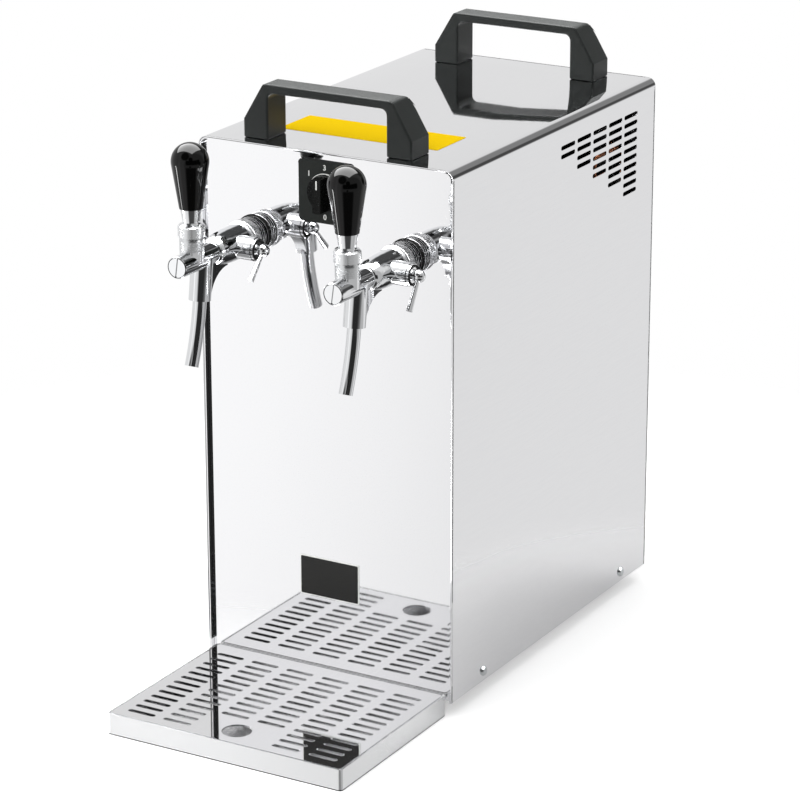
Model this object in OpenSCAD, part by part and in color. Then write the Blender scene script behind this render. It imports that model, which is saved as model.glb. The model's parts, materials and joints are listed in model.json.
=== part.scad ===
// Draft beer dispenser: a polished steel dry cooler with two compensator taps, a thermostat,
// two carrying handles and a loose drip tray that stands in front of it.
// Millimetres, +Z up, the front faces -Y and z = 0 is the counter that it stands on.

/* [Case] */
// Width of the steel case
case_w = 220; // [214:1:250]
// Depth of the steel case, front edge to rear edge
case_d = 335; // [328:1:380]
// Height of the steel case above its feet
case_h = 420; // [412:1:460]
// Thickness of the steel sheets
sheet_t = 1; // [0.8:0.1:1.4]
// Outer radius of the bends along the top of the case
bend_r = 7; // [5:0.5:10]
// Depth of the hem that is folded inwards along the open edges of the case
hem_d = 10; // [7:0.5:12]
// Set-back of the front and rear panels behind the edges of the case
panel_recess = 4; // [2:0.5:6]
// Depth of the flange folded round each panel
flange_d = 12; // [10:0.5:14]
// Clearance between sheets that slide together
sheet_gap = 0.2; // [0.1:0.05:0.3]
// Height of the base pan's side flanges
pan_flange_h = 24; // [18:1:32]
// Radius of a rubber foot at its top
foot_r = 13; // [10:0.5:16]
// Height of the rubber feet
foot_h = 12; // [8:0.5:20]
// Distance of the feet's centres from the edges of the base pan
foot_inset = 24; // [18:1:40]

/* [Vents] */
// Length of a vent slot
vent_l = 23.5; // [16:0.5:25]
// Height of a vent slot
vent_h = 3.5; // [2.5:0.1:4.5]
// Distance between the columns of slots
vent_pitch_y = 27.3; // [26:0.1:30]
// Distance between the rows of slots
vent_pitch_z = 6.95; // [6:0.05:8]
// Columns in the triangle of side vents
vent_columns = 5; // [2:1:5]
// Distance of the rearmost column's centre from the rear edge of the case
vent_rear = 43.5; // [36:0.5:60]
// Distance of the top row below the top of the case
vent_drop = 21.5; // [16:0.5:30]
// Columns of slots in the rear panel
rear_columns = 5; // [3:1:5]
// Rows of slots in the rear panel
rear_rows = 20; // [8:1:22]

/* [Screws] */
// Radius of a casing screw's head
screw_head_r = 4; // [3:0.25:5]
// Height of a casing screw's head
screw_head_h = 1.6; // [1:0.1:2.5]
// Radius of a casing screw's shank
screw_r = 2; // [1.5:0.1:2.5]
// Height of the side screws above the bottom of the case
screw_z = 8.5; // [7:0.5:12]
// Distance of the front side screws behind the front edge
screw_front = 51; // [40:1:70]
// Distance of the rear side screws ahead of the rear edge
screw_rear = 45.5; // [35:0.5:60]
// Clearance of a screw in its hole
screw_gap = 0.15; // [0.1:0.05:0.3]

/* [Handles] */
// Width of a carrying handle
handle_w = 145.5; // [130:0.5:160]
// Height of a carrying handle
handle_h = 43; // [38:0.5:55]
// Depth of a carrying handle, front to rear
handle_d = 27; // [22:0.5:32]
// Width of a handle's leg at its foot
handle_leg = 21.5; // [18:0.5:26]
// Thickness of a handle's bar
handle_bar = 7; // [5:0.5:10]
// Height of the upright part of a leg's outer face
handle_upright = 14.5; // [10:0.5:20]
// How far the outer faces lean inwards above the upright part
handle_lean = 15; // [8:0.5:19]
// Rounding of the handle's outer shoulders and inner corners
handle_round = 5; // [3:0.5:6]
// Rounding of the bar's rear upper edge
handle_palm = 9; // [4:0.5:12]
// Sideways offset of the front handle from the middle of the case
front_handle_x = -4; // [-8:0.5:8]
// Distance of each handle from the near edge of the case
handle_inset = 11; // [8:0.5:20]
// Radius of a handle screw
handle_screw_r = 2.5; // [2:0.25:3.5]
// Depth of a handle screw in its leg
handle_screw_l = 16; // [10:1:24]

/* [Thermostat] */
// Width of the thermostat plate
plate_w = 46; // [40:0.5:50]
// Height of the thermostat plate
plate_h = 48; // [44:0.5:52]
// Thickness of the thermostat plate
plate_t = 2.5; // [1.5:0.25:4]
// Corner radius of the thermostat plate
plate_r = 3; // [1:0.5:5]
// Distance of the plate's centre below the top of the case
plate_drop = 31; // [29:0.5:36]
// Radius of the thermostat knob
knob_r = 13.5; // [11:0.5:15]
// Thickness of the knob's skirt
knob_skirt = 3; // [2:0.25:5]
// Height of the knob's bar grip above the skirt
knob_grip = 9; // [6:0.5:12]
// Width of the knob's bar grip
knob_bar = 7; // [5:0.5:9]
// Radius of the knob's spindle
spindle_r = 3; // [2.5:0.25:4]
// Running clearance of a spindle, shaft or plunger
run_gap = 0.1; // [0.05:0.01:0.1]
// Width of the thermostat body
stat_w = 38; // [32:1:42]
// Height of the thermostat body
stat_h = 30; // [26:1:34]
// Depth of the thermostat body
stat_d = 32; // [24:1:36]

/* [Taps] */
// Distance of each tap from the near side of the case
tap_in = 43.5; // [42.5:0.5:48]
// Shift of both taps to the right of the case's middle
tap_shift = 2; // [0:0.5:3]
// Distance of the taps' axis below the top of the case
tap_drop = 72; // [68:0.1:80]
// Radius of the threaded shank
shank_r = 8; // [7:0.25:8.5]
// Radius of the bore through the shank
shank_bore = 4; // [3:0.25:5]
// Length of the shank behind the panel's face
shank_back = 40; // [30:1:44]
// Radius of the shank's flange on the panel
shank_flange_r = 14; // [12:0.5:16]
// Thickness of the shank's flange
shank_flange_t = 3; // [2:0.25:4]
// Outer radius of the coupling collar
collar_r = 14; // [13.5:0.25:17]
// Length of the coupling collar
collar_l = 18.8; // [16:0.1:19]
// Ribs turned round the coupling collar
collar_ribs = 3; // [2:1:5]
// Radius of the domed neck where it meets the collar
neck_r = 13.2; // [12:0.1:14]
// Length of the domed neck in front of the collar
neck_l = 37; // [34:0.5:40]
// Radius of the tap's barrel
barrel_r = 8.4; // [8.2:0.1:9.5]
// Distance of the barrel's front end from the panel
barrel_out = 105.5; // [103:0.5:112]
// Distance of the lever from the panel
lever_out = 85; // [83:0.5:88]
// Height of the lever's pivot above the tap's axis
pivot_h = 16; // [15:0.25:16.5]
// Radius of the lever's ball
ball_r = 5.5; // [5:0.25:5.75]
// Outer radius of the lever collar
dome_r = 9.2; // [8.8:0.1:9.6]
// Largest swing of the lever, in degrees
lever_swing = 17; // [10:1:17]
// Radius of the black grip at its widest
grip_r = 14.2; // [11:0.1:16]
// Radius of the black grip at its lower end
grip_foot_r = 8.8; // [8.5:0.1:11]
// Height of the black grip
grip_h = 49.5; // [45:0.5:70]
// Distance of the spout socket from the panel, at the tap's axis
spout_out = 71.5; // [70:0.5:73]
// Lean of the spout socket, in degrees
spout_lean = 8; // [4:1:10]
// Outer radius of the spout tube
spout_r = 5.2; // [4.5:0.1:5.5]
// Wall of the spout tube
spout_wall = 1; // [0.8:0.1:1.5]
// Outer radius of the spout socket
socket_r = 8.4; // [7.6:0.1:9]
// Length of the spout socket from the tap's axis
socket_l = 32.5; // [28:0.5:38]
// Length of the spout tube below its socket
spout_l = 50; // [40:1:70]
// Forward curve of the spout tube along its length, in degrees
spout_curve = 14; // [6:1:24]

/* [Compensators] */
// Distance of the compensator's shaft from the panel
comp_out = 35.5; // [34:0.25:36.5]
// Outer radius of the compensator's side boss
comp_r = 9; // [8:0.25:9]
// Length of the side boss from the tap's axis
comp_l = 24; // [23:0.5:28]
// Radius of the compensator's shaft
comp_shaft_r = 4.3; // [3.5:0.1:5]
// Radius of the ball at the end of the compensator's shaft
comp_ball_r = 5; // [4:0.25:5]
// Radius of the compensator's arm at its free end
comp_arm_r = 2.4; // [1.8:0.1:2.6]
// Length of the compensator's arm from the ball's centre
comp_arm_l = 27; // [22:0.5:30]
// Forward lean of the right arm from straight down, in degrees
right_arm_lean = 32; // [0:1:60]
// Forward lean of the left arm from straight down, in degrees
left_arm_lean = 44; // [0:1:60]

/* [Drip tray] */
// Width of the drip tray
tray_w = 207; // [180:1:220]
// Depth of the drip tray, front to rear
tray_d = 157; // [154:0.5:180]
// Height of the drip tray
tray_h = 17; // [14:0.5:30]
// Gap between the drip tray and the front panel
tray_gap = 0.5; // [0.3:0.1:3]
// Thickness of the tray's sheet
tray_t = 1; // [0.8:0.1:1.5]
// Corner radius of the tray
tray_r = 3; // [2:0.5:6]
// Width of the ledge that carries the grid
ledge_w = 5; // [3:0.5:6]
// Thickness of the grid
grid_t = 1.2; // [0.8:0.1:2]
// Clearance round the grid
grid_gap = 1.2; // [0.4:0.1:1.5]
// Length of a slot in the grid
grid_slot_l = 24; // [18:0.5:26]
// Width of a slot in the grid
grid_slot_w = 4.4; // [3:0.1:5]
// Distance between the columns of slots in the grid
grid_pitch_x = 32; // [29:0.5:32]
// Distance between the rows of slots in the grid
grid_pitch_y = 10.37; // [8:0.01:10.5]
// Distance of the first row of slots from the front of the tray
grid_first = 13.5; // [12:0.5:18]
// Rows of slots in the grid
grid_rows = 13; // [8:1:13]
// Radius of the finger hole in the grid
finger_r = 11.5; // [9:0.5:12]
// Distance of the finger hole's centre from the front of the tray
finger_in = 21.5; // [19:0.5:26]

/* [Cooling] */
// Space between the foam jacket and each side of the case
jacket_side = 15; // [12:0.5:19]
// Depth of the foam jacket
jacket_d = 140; // [130:1:142]
// Height of the foam jacket
jacket_h = 280; // [250:1:290]
// Thickness of the foam
foam_t = 22; // [18:0.5:22]
// Space between the front panel's flange and the foam jacket
jacket_gap = 8; // [4:0.5:9]
// Radius of the beer lines
beer_r = 4.75; // [3.5:0.05:4.8]
// Distance of the beer lines behind the cooling block's front face
beer_in = 20; // [18:0.5:30]
// Radius of the sensor line and the capillary
capillary_r = 1.5; // [1:0.1:2]
// Radius of the refrigerant lines
pipe_r = 3; // [2.5:0.1:3.5]
// Radius of the suction line
suction_r = 4; // [3:0.1:4.5]
// Clearance round a line where it passes through foam or sheet
line_gap = 0.3; // [0.2:0.05:0.5]

/* [Compressor] */
// Radius of the compressor's shell
shell_r = 52; // [46:0.5:53]
// Height of the compressor's shell
shell_h = 135; // [110:1:145]
// Distance of the compressor's centre ahead of the rear panel
shell_in = 80; // [76:0.5:82]
// Height of the rubber mounts
mount_h = 16; // [10:0.5:20]
// Radius of the filter drier
drier_r = 8; // [6:0.5:9]
// Length of the filter drier
drier_l = 80; // [60:1:90]

/* [Condenser and fan] */
// Space between the condenser's end plates and the sides of the case
cond_side = 28; // [27:0.5:32]
// Height of the condenser's fins
cond_h = 180; // [164:1:190]
// Depth of the condenser
cond_d = 28; // [24:1:30]
// Height of the lowest fins above the base pan
cond_z = 203; // [196:1:206]
// Distance of the condenser's middle ahead of the rear panel
cond_in = 34; // [32:0.5:36]
// Tubes through the fins, an odd number so that gas enters on one side and liquid leaves on the other
cond_tubes = 7; // [5:2:9]
// Distance between the fins
fin_pitch = 8; // [6:0.5:12]
// Inner radius of the fan's ring
fan_r = 71; // [60:0.5:74]
// Clearance between the blades and the ring
fan_gap = 3; // [2:0.5:5]
// Blades of the fan
fan_blades_n = 5; // [3:1:7]
// Depth of the fan's ring
fan_d = 20; // [18:1:22]
// Radius of the fan's motor
motor_r = 27; // [22:0.5:32]
// Length of the fan's motor
motor_l = 36; // [26:1:40]

/* [Rear fittings] */
// Distance of each inlet from the near side of the case
inlet_in = 44; // [43:0.5:46]
// Height of the inlets above the bottom of the case
inlet_z = 48; // [44:1:60]
// Radius of the pipe socket in an inlet
inlet_bore = 4.8; // [4:0.05:5.5]
// Outer radius of an inlet
inlet_r = 9; // [8:0.25:10]
// Depth of the pipe socket
inlet_depth = 20; // [14:0.5:24]
// How far the inlets stand out behind the case
inlet_out = 24; // [18:0.5:30]
// Radius of the cable gland's bore
gland_bore = 4; // [3:0.25:5]
// Height of the cable gland above the bottom of the case
gland_z = 33; // [26:1:40]

/* [Hidden] */
$fn = 64;

// Colours
steel = "#d5d7d9";
chrome = "#e6e8ea";
black = "#17181a";
rubber = "#2a2a2b";
copper = "#b87345";
foam = "#e9e3d2";
alloy = "#c3c6c9";

// A cut reaches this far past the face that it leaves by
past = 1;

// Main planes
total_d = tray_d + tray_gap - panel_recess + case_d + inlet_out;
front_y = -total_d / 2 + tray_d + tray_gap - panel_recess;
rear_y = front_y + case_d;
case_z = foot_h;
top_z = case_z + case_h;
inner_w = case_w - 2 * sheet_t;
panel_y = front_y + panel_recess;
rear_panel_y = rear_y - panel_recess;
panel_w = inner_w - 2 * sheet_t - 2 * sheet_gap;
panel_h = case_h - 2 * sheet_t - sheet_gap;
panel_r = bend_r - 2 * sheet_t - sheet_gap;
pan_y0 = panel_y + flange_d + sheet_gap;
pan_y1 = rear_panel_y - flange_d - sheet_gap;
pan_x = inner_w / 2 - sheet_gap / 2;
floor_z = case_z + sheet_t;

// Taps and thermostat on the front panel
tap_x = case_w / 2 - tap_in;
tap_z = top_z - tap_drop;
function tap_at(side) = side * tap_x + tap_shift;
plate_z = top_z - plate_drop;
pivot_z = tap_z + pivot_h;
lever_y = panel_y - lever_out;
comp_y = panel_y - comp_out;
face_gap = 0.3;

// Inside of a tap, as distances from the panel
shank_front = 10;
collar_lip = 4;
collar_back = shank_flange_t + sheet_gap;
collar_front = collar_back + collar_l;
tail_r = 11.3;
throat_r = 10;
chamber_r = 6.8;
cone_back = 8;
cone_front = 3.5;
cone_room = 3;
chamber_back = comp_out - cone_back - cone_room;
seat_back = comp_out + 16;
seat_front = seat_back + 3;
seat_r = 3.8;
plunger_r = 6.2;
cap_t = 1.5;
cap_r = plunger_r + 1.1;
spout_in = 13;

// Lever, measured from its pivot
boss_r = dome_r - 1.6;
boss_top = pivot_h - 2;
collar_seat = barrel_r + 0.3;
collar_skirt = pivot_h - collar_seat;
dome_h = 6;
mouth_angle = 50;
cup_r = dome_r + 0.4;
ring_r = cup_r + 0.6;
ring_z0 = 3.5;
ring_h = 9.1;
ferrule_z0 = ring_z0 + ring_h;
ferrule_h = 12;
ferrule_r = 6.4;
lever_neck_r = 2.6;
stud_r = 4;
stud_l = 18;
rod_r = 1.8;
tip_r = 2.4;
tip_gap = 0.4;
grip_z0 = ferrule_z0 + ferrule_h;
plunger_slot = tip_r + tip_gap;

// Compensator
pin_offset = 2.5;
pin_r = 1.5;
cone_r = chamber_r - 0.5;
shaft_x0 = chamber_r + 0.4;
comp_ring_t = 2;
arm_root_r = 0.65 * comp_arm_r;
comp_ring_r = comp_r - 0.6;
comp_ball_x = comp_l + face_gap + comp_ring_t + comp_ball_r - 0.6;

// Inside of the case
jacket_w = case_w - 2 * jacket_side;
jacket_y0 = panel_y + flange_d + jacket_gap;
jacket_y1 = jacket_y0 + jacket_d;
jacket_top = floor_z + jacket_h;
block_w = jacket_w - 2 * foam_t - 2 * line_gap;
block_y0 = jacket_y0 + foam_t;
block_y1 = jacket_y1 - foam_t;
block_z0 = floor_z + foam_t;
block_top = jacket_top - foam_t;
beer_y = block_y0 + beer_in;
beer_bend = 14;
side_x = inner_w / 2 - 12;
compressor_y = rear_panel_y - shell_in;
shell_z0 = floor_z + mount_h + 3;
suction_x = shell_r - 17;
suction_z = shell_z0 + 70;
stub_y = compressor_y - shell_r;
suction_y = stub_y - 14;
suction_top = block_top - 24;
discharge_z = shell_z0 + 88;
discharge_x = shell_r + 6;
cond_w = case_w - 2 * cond_side;
cond_y = rear_panel_y - cond_in;
fin_z0 = floor_z + cond_z;
tube_step = cond_h / cond_tubes;
tube_end_x = cond_w / 2 + 5;
cond_tube_r = 3.5;
liquid_z = fin_z0 + tube_step / 2;
gas_z = fin_z0 + cond_h - tube_step / 2;
drier_gap = 21;
drier_drop = 32;
drier_y = cond_y - cond_d / 2 - drier_gap;
drier_z1 = liquid_z - drier_drop;
drier_z0 = drier_z1 - drier_l;
capillary_z = drier_z0 - 16;
capillary_y = jacket_y1 + 8;
capillary_x = suction_x + 10;
pipe_bend = 9;
fan_z = fin_z0 + cond_h / 2;
shroud_t = 1.5;
shroud_y = cond_y - cond_d / 2 - shroud_t;
ring_y = shroud_y - fan_d;
spider_t = 3;
motor_y = ring_y - motor_l;
shaft_r = 3;
inlet_x = case_w / 2 - inlet_in;
inlet_abs_z = case_z + inlet_z;
inlet_tail = 22;
inlet_line_y1 = rear_panel_y - inlet_tail;
gland_abs_z = case_z + gland_z;
tray_y0 = -total_d / 2;

// Direction helpers
function unit(v) = v / norm(v);
function turn_at(p, i) = acos(unit(p[i] - p[i - 1]) * unit(p[i + 1] - p[i]));
function across(d) = unit(cross(d, abs(d.z) < 0.9 ? [0, 0, 1] : [1, 0, 0]));
function arc(cx, cy, r, a0, a1, n = 8) =
    [for (i = [0:n]) [cx + r * cos(a0 + (a1 - a0) * i / n), cy + r * sin(a0 + (a1 - a0) * i / n)]];

// Puts its children at p with their X, Y and Z axes along x, y and z
module at_frame(p, x, y, z) {
    multmatrix([[x.x, y.x, z.x, p.x], [x.y, y.y, z.y, p.y], [x.z, y.z, z.z, p.z], [0, 0, 0, 1]])
        children();
}

module rod_x(r, x0, x1) {
    translate([x0, 0, 0])
        rotate([0, 90, 0])
            cylinder(r = r, h = x1 - x0);
}

module rod_y(r, y0, y1) {
    translate([0, y0, 0])
        rotate([-90, 0, 0])
            cylinder(r = r, h = y1 - y0);
}

// A body turned about the Y axis from a profile of [radius, distance in front of the origin]
module turned_y(profile) {
    rotate([90, 0, 0])
        rotate_extrude()
            polygon(profile);
}

// A round bar along the points, with bends of one radius at its corners
module bent_rod(points, r, bend) {
    last = len(points) - 1;
    for (i = [0:last - 1]) {
        d = unit(points[i + 1] - points[i]);
        start = i == 0 ? 0 : bend * tan(turn_at(points, i) / 2);
        stop = i == last - 1 ? 0 : bend * tan(turn_at(points, i + 1) / 2);
        x = across(d);
        at_frame(points[i] + d * start, x, cross(d, x), d)
            cylinder(r = r, h = norm(points[i + 1] - points[i]) - start - stop);
    }
    for (i = [1:1:last - 1]) {
        d = unit(points[i] - points[i - 1]);
        e = unit(points[i + 1] - points[i]);
        turn = turn_at(points, i);
        inward = unit(e - d * (d * e));
        centre = points[i] - d * bend * tan(turn / 2) + inward * bend;
        at_frame(centre, -inward, d, cross(-inward, d))
            rotate_extrude(angle = turn)
                translate([bend, 0])
                    circle(r = r);
    }
}

// A rectangle centred on the origin with round corners
module round_rect(w, h, r) {
    square([w, h - 2 * r], center = true);
    square([w - 2 * r, h], center = true);
    for (x = [-1, 1], y = [-1, 1])
        translate([x * (w / 2 - r), y * (h / 2 - r)])
            circle(r = r);
}

// The case's outline in front view: a flat foot and two round upper corners
module arch(w, h, r) {
    translate([-w / 2, 0])
        square([w, h - r]);
    translate([-w / 2 + r, 0])
        square([w - 2 * r, h]);
    for (x = [-1, 1])
        translate([x * (w / 2 - r), h - r])
            circle(r = r);
}

// The arch as a prism from y0 to y1, standing at height z
module arch_prism(w, h, r, y0, y1, z) {
    translate([0, y1, z])
        rotate([90, 0, 0])
            linear_extrude(y1 - y0)
                arch(w, h, r);
}

// A slot with round ends, lying along X
module slot(l, w) {
    square([l - w, w], center = true);
    for (x = [-1, 1])
        translate([x * (l - w) / 2, 0])
            circle(d = w);
}

module at_tap(side) {
    translate([tap_at(side), panel_y, tap_z])
        children();
}

module base_pan() {
    color(steel)
        difference() {
            translate([-pan_x, pan_y0, case_z])
                cube([2 * pan_x, pan_y1 - pan_y0, pan_flange_h]);
            translate([-pan_x + sheet_t, pan_y0 + sheet_t, floor_z])
                cube([2 * (pan_x - sheet_t), pan_y1 - pan_y0 - 2 * sheet_t, pan_flange_h]);
            for (y = [front_y + screw_front, rear_y - screw_rear])
                translate([0, y, case_z + screw_z])
                    rod_x(screw_r + screw_gap, -case_w, case_w);
        }
}

// One row of the vent triangle is cut through both sides at once
module side_vents() {
    for (c = [0:vent_columns - 1], row = [0:2 * (vent_columns - c) - 1])
        translate([-case_w, rear_y - vent_rear - c * vent_pitch_y, top_z - vent_drop - row * vent_pitch_z])
            rotate([90, 0, 90])
                linear_extrude(2 * case_w)
                    slot(vent_l, vent_h);
}

module casing_wrap() {
    color(steel)
        difference() {
            arch_prism(case_w, case_h, bend_r, front_y, rear_y, case_z);
            arch_prism(inner_w, case_h - sheet_t + past, bend_r - sheet_t,
                front_y + hem_d, rear_y - hem_d, case_z - past);
            for (y = [front_y - past, rear_y - hem_d - past])
                arch_prism(inner_w - 2 * sheet_t, case_h - 2 * sheet_t + past, bend_r - 2 * sheet_t,
                    y, y + hem_d + 2 * past, case_z - past);
            side_vents();
            for (y = [front_y + screw_front, rear_y - screw_rear])
                translate([0, y, case_z + screw_z])
                    rod_x(screw_r + screw_gap, -case_w, case_w);
            handle_holes(-2 * sheet_t, past);
        }
}

// A panel folded to a shallow box that is open towards +Y, with its face at y = 0
module panel_box() {
    difference() {
        arch_prism(panel_w, panel_h, panel_r, 0, flange_d, case_z);
        arch_prism(panel_w - 2 * sheet_t, panel_h - 2 * sheet_t, panel_r - sheet_t,
            sheet_t, flange_d + past, floor_z);
    }
}

module front_panel() {
    color(steel)
        difference() {
            translate([0, panel_y, 0])
                panel_box();
            for (side = [-1, 1])
                at_tap(side)
                    rod_y(shank_r + line_gap, -past, sheet_t + past);
            translate([0, panel_y, plate_z])
                rod_y(spindle_r + past, -past, sheet_t + past);
        }
}

module rear_vents() {
    for (c = [0:rear_columns - 1], row = [0:rear_rows - 1])
        translate([(c - (rear_columns - 1) / 2) * vent_pitch_y, rear_panel_y + past,
            fan_z + (row - (rear_rows - 1) / 2) * vent_pitch_z])
            rotate([90, 0, 0])
                linear_extrude(sheet_t + 2 * past)
                    slot(vent_l, vent_h);
}

module rear_panel() {
    color(steel)
        difference() {
            translate([0, rear_panel_y, 0])
                mirror([0, 1, 0])
                    panel_box();
            rear_vents();
            for (side = [-1, 1])
                translate([side * inlet_x, rear_panel_y, inlet_abs_z])
                    rod_y(inlet_r - 2 + line_gap, -sheet_t - past, past);
            translate([0, rear_panel_y, gland_abs_z])
                rod_y(gland_bore + 2 + line_gap, -sheet_t - past, past);
        }
}

// A screw along +Z with a low round head below z = 0
module pan_screw(r, l, head_r, head_h) {
    cylinder(r = r, h = l);
    translate([0, 0, -head_h])
        cylinder(r1 = head_r - head_h / 2, r2 = head_r, h = head_h);
}

module casing_screws() {
    color(chrome)
        for (side = [-1, 1], y = [front_y + screw_front, rear_y - screw_rear])
            translate([side * case_w / 2, y, case_z + screw_z])
                rotate([0, -90 * side, 0])
                    pan_screw(screw_r, 3 * sheet_t + 3, screw_head_r, screw_head_h);
}

module feet() {
    color(rubber)
        for (x = [-1, 1], y = [pan_y0 + foot_inset, pan_y1 - foot_inset])
            translate([x * (pan_x - foot_inset), y, 0])
                cylinder(r1 = foot_r - 2, r2 = foot_r, h = foot_h);
}

handle_leg_x = (handle_w - handle_leg) / 2;
handle_front_place = [front_handle_x, front_y + handle_inset + handle_d / 2, top_z];
handle_rear_place = [0, rear_y - handle_inset - handle_d / 2, top_z];

// Puts its children in the middle of each handle's legs, at the top of the case
module at_handle_legs() {
    for (place = [handle_front_place, handle_rear_place], x = [-1, 1])
        translate(place + [x * handle_leg_x, 0, 0])
            children();
}

module handle_holes(z0, z1) {
    at_handle_legs()
        translate([0, 0, z0])
            cylinder(r = handle_screw_r + screw_gap, h = z1 - z0);
}

// Front view of a handle: upright feet, leaning shoulders, a flat bar and a window with round corners
module handle_front() {
    half = handle_w / 2;
    top = half - handle_lean;
    difference() {
        polygon(concat(
            [[-half, 0], [half, 0], [half, handle_upright]],
            arc(top - handle_round, handle_h - handle_round, handle_round, 30, 90),
            arc(handle_round - top, handle_h - handle_round, handle_round, 90, 150),
            [[-half, handle_upright]]));
        translate([0, (handle_h - handle_bar) / 2 - handle_round])
            round_rect(handle_w - 2 * handle_leg, handle_h - handle_bar + 2 * handle_round, handle_round);
    }
}

// Side view of a handle: a crisp front edge and a round rear edge for the palm
module handle_side() {
    half = handle_d / 2;
    edge = 1.5;
    polygon(concat(
        [[-half, 0], [half, 0]],
        arc(half - handle_palm, handle_h - handle_palm, handle_palm, 0, 90),
        arc(edge - half, handle_h - edge, edge, 90, 180, 4)));
}

module handle(place) {
    color(black)
        difference() {
            translate(place)
                intersection() {
                    translate([0, handle_d / 2, 0])
                        rotate([90, 0, 0])
                            linear_extrude(handle_d)
                                handle_front();
                    translate([-handle_w / 2 - past, 0, 0])
                        rotate([90, 0, 90])
                            linear_extrude(handle_w + 2 * past)
                                handle_side();
                }
            handle_holes(-past, handle_screw_l + past);
        }
}

module front_handle() {
    handle(handle_front_place);
}

module rear_handle() {
    handle(handle_rear_place);
}

module handle_screws() {
    color(chrome)
        at_handle_legs()
            translate([0, 0, -sheet_t])
                pan_screw(handle_screw_r, handle_screw_l + sheet_t, 2 * handle_screw_r, screw_head_h);
}

module thermostat_plate() {
    color(black)
        difference() {
            translate([0, panel_y, plate_z])
                rotate([90, 0, 0])
                    linear_extrude(plate_t)
                        round_rect(plate_w, plate_h, plate_r);
            translate([0, panel_y, plate_z])
                rod_y(spindle_r + past, -plate_t - past, past);
        }
}

module thermostat_body() {
    color(alloy)
        translate([0, panel_y + sheet_t, plate_z])
            difference() {
                translate([-stat_w / 2, 0, -stat_h / 2])
                    cube([stat_w, stat_d, stat_h]);
                rod_y(spindle_r + run_gap, -past, stat_d / 2);
            }
}

// A round skirt with a bar grip across it, on a spindle that runs in the thermostat body
module thermostat_knob() {
    color(black)
        translate([0, panel_y - plate_t - face_gap, plate_z]) {
            rod_y(knob_r, -knob_skirt, 0);
            intersection() {
                translate([-knob_bar / 2, -knob_skirt - knob_grip, -knob_r])
                    cube([knob_bar, knob_grip + knob_skirt, 2 * knob_r]);
                rod_y(knob_r, -knob_skirt - knob_grip, -knob_skirt / 2);
            }
            rod_y(spindle_r, 0, face_gap + plate_t + sheet_t + stat_d / 2 - past);
        }
}

sensor_y = panel_y + sheet_t + stat_d - 8;
sensor_x = 8;
sensor_in = 20;
sensor_z = (plate_z - stat_h / 2 + jacket_top) / 2;

module sensor_line() {
    color(copper)
        bent_rod([
            [sensor_x, sensor_y, plate_z - stat_h / 2],
            [sensor_x, sensor_y, sensor_z],
            [sensor_x, beer_y + sensor_in, sensor_z],
            [sensor_x, beer_y + sensor_in, block_top]], capillary_r, pipe_bend);
}

module cooling_block() {
    color(alloy)
        translate([-block_w / 2, block_y0 + line_gap, block_z0])
            cube([block_w, block_y1 - block_y0 - 2 * line_gap, block_top - block_z0]);
}

// Foam poured round the block, pierced where the lines pass
module insulation_jacket() {
    color(foam)
        difference() {
            translate([-jacket_w / 2, jacket_y0, floor_z])
                cube([jacket_w, jacket_d, jacket_h]);
            translate([-jacket_w / 2 + foam_t, block_y0, block_z0])
                cube([jacket_w - 2 * foam_t, block_y1 - block_y0, block_top - block_z0]);
            for (side = [-1, 1]) {
                translate([tap_at(side), beer_y, block_top - past])
                    cylinder(r = beer_r + line_gap, h = foam_t + 2 * past);
                translate([side * inlet_x, 0, inlet_abs_z])
                    rod_y(beer_r + line_gap, block_y1 - past, jacket_y1 + past);
            }
            translate([sensor_x, beer_y + sensor_in, block_top - past])
                cylinder(r = capillary_r + line_gap, h = foam_t + 2 * past);
            translate([-suction_x, 0, suction_top])
                rod_y(suction_r + line_gap, block_y1 - past, jacket_y1 + past);
            translate([-capillary_x, 0, capillary_z])
                rod_y(capillary_r + line_gap, block_y1 - past, jacket_y1 + past);
        }
}

mount_x = shell_r - 4;
mount_y = shell_r - 12;
mount_r = 8;
spigot_r = 3.5;
base_t = 3;

// A welded pot with a seam round its middle, on a base plate, with its two pipe stubs
module compressor() {
    seam_z = shell_h * 0.55;
    crown = 24;
    color(black)
        translate([0, compressor_y, shell_z0]) {
            rotate_extrude()
                polygon(concat(
                    [[0, 0], [shell_r - 10, 0], [shell_r, 10], [shell_r, seam_z], [shell_r + 2.5, seam_z],
                        [shell_r + 2.5, seam_z + 5], [shell_r, seam_z + 5], [shell_r, shell_h - crown]],
                    arc(shell_r - crown, shell_h - crown, crown, 10, 90),
                    [[0, shell_h]]));
            difference() {
                translate([-mount_x - 14, -mount_y - 12, -base_t])
                    cube([2 * mount_x + 28, 2 * mount_y + 24, base_t]);
                for (x = [-1, 1], y = [-1, 1])
                    translate([x * mount_x, y * mount_y, -base_t - past])
                        cylinder(r = spigot_r + line_gap, h = base_t + 2 * past);
            }
            translate([-suction_x, 0, suction_z - shell_z0])
                rod_y(suction_r + 1, -shell_r, -shell_r / 2);
            translate([0, 0, discharge_z - shell_z0])
                rod_x(pipe_r + 1, shell_r / 2, discharge_x);
            translate([-terminal_w / 2 + 4, -terminal_y, terminal_z])
                cube([terminal_w - 8, terminal_y, terminal_h - 8]);
        }
}

module compressor_mounts() {
    color(rubber)
        for (x = [-1, 1], y = [-1, 1])
            translate([x * mount_x, compressor_y + y * mount_y, floor_z]) {
                cylinder(r = mount_r, h = mount_h);
                cylinder(r = spigot_r, h = mount_h + base_t + 4);
            }
}

terminal_w = 46;
terminal_h = 48;
terminal_d = 9;
terminal_y = shell_r + 2;
terminal_z = 8;

// The cover over the compressor's starting relay
module terminal_box() {
    color(black)
        translate([-terminal_w / 2, compressor_y - terminal_y - terminal_d, shell_z0 + terminal_z - 4])
            cube([terminal_w, terminal_d, terminal_h]);
}

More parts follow.
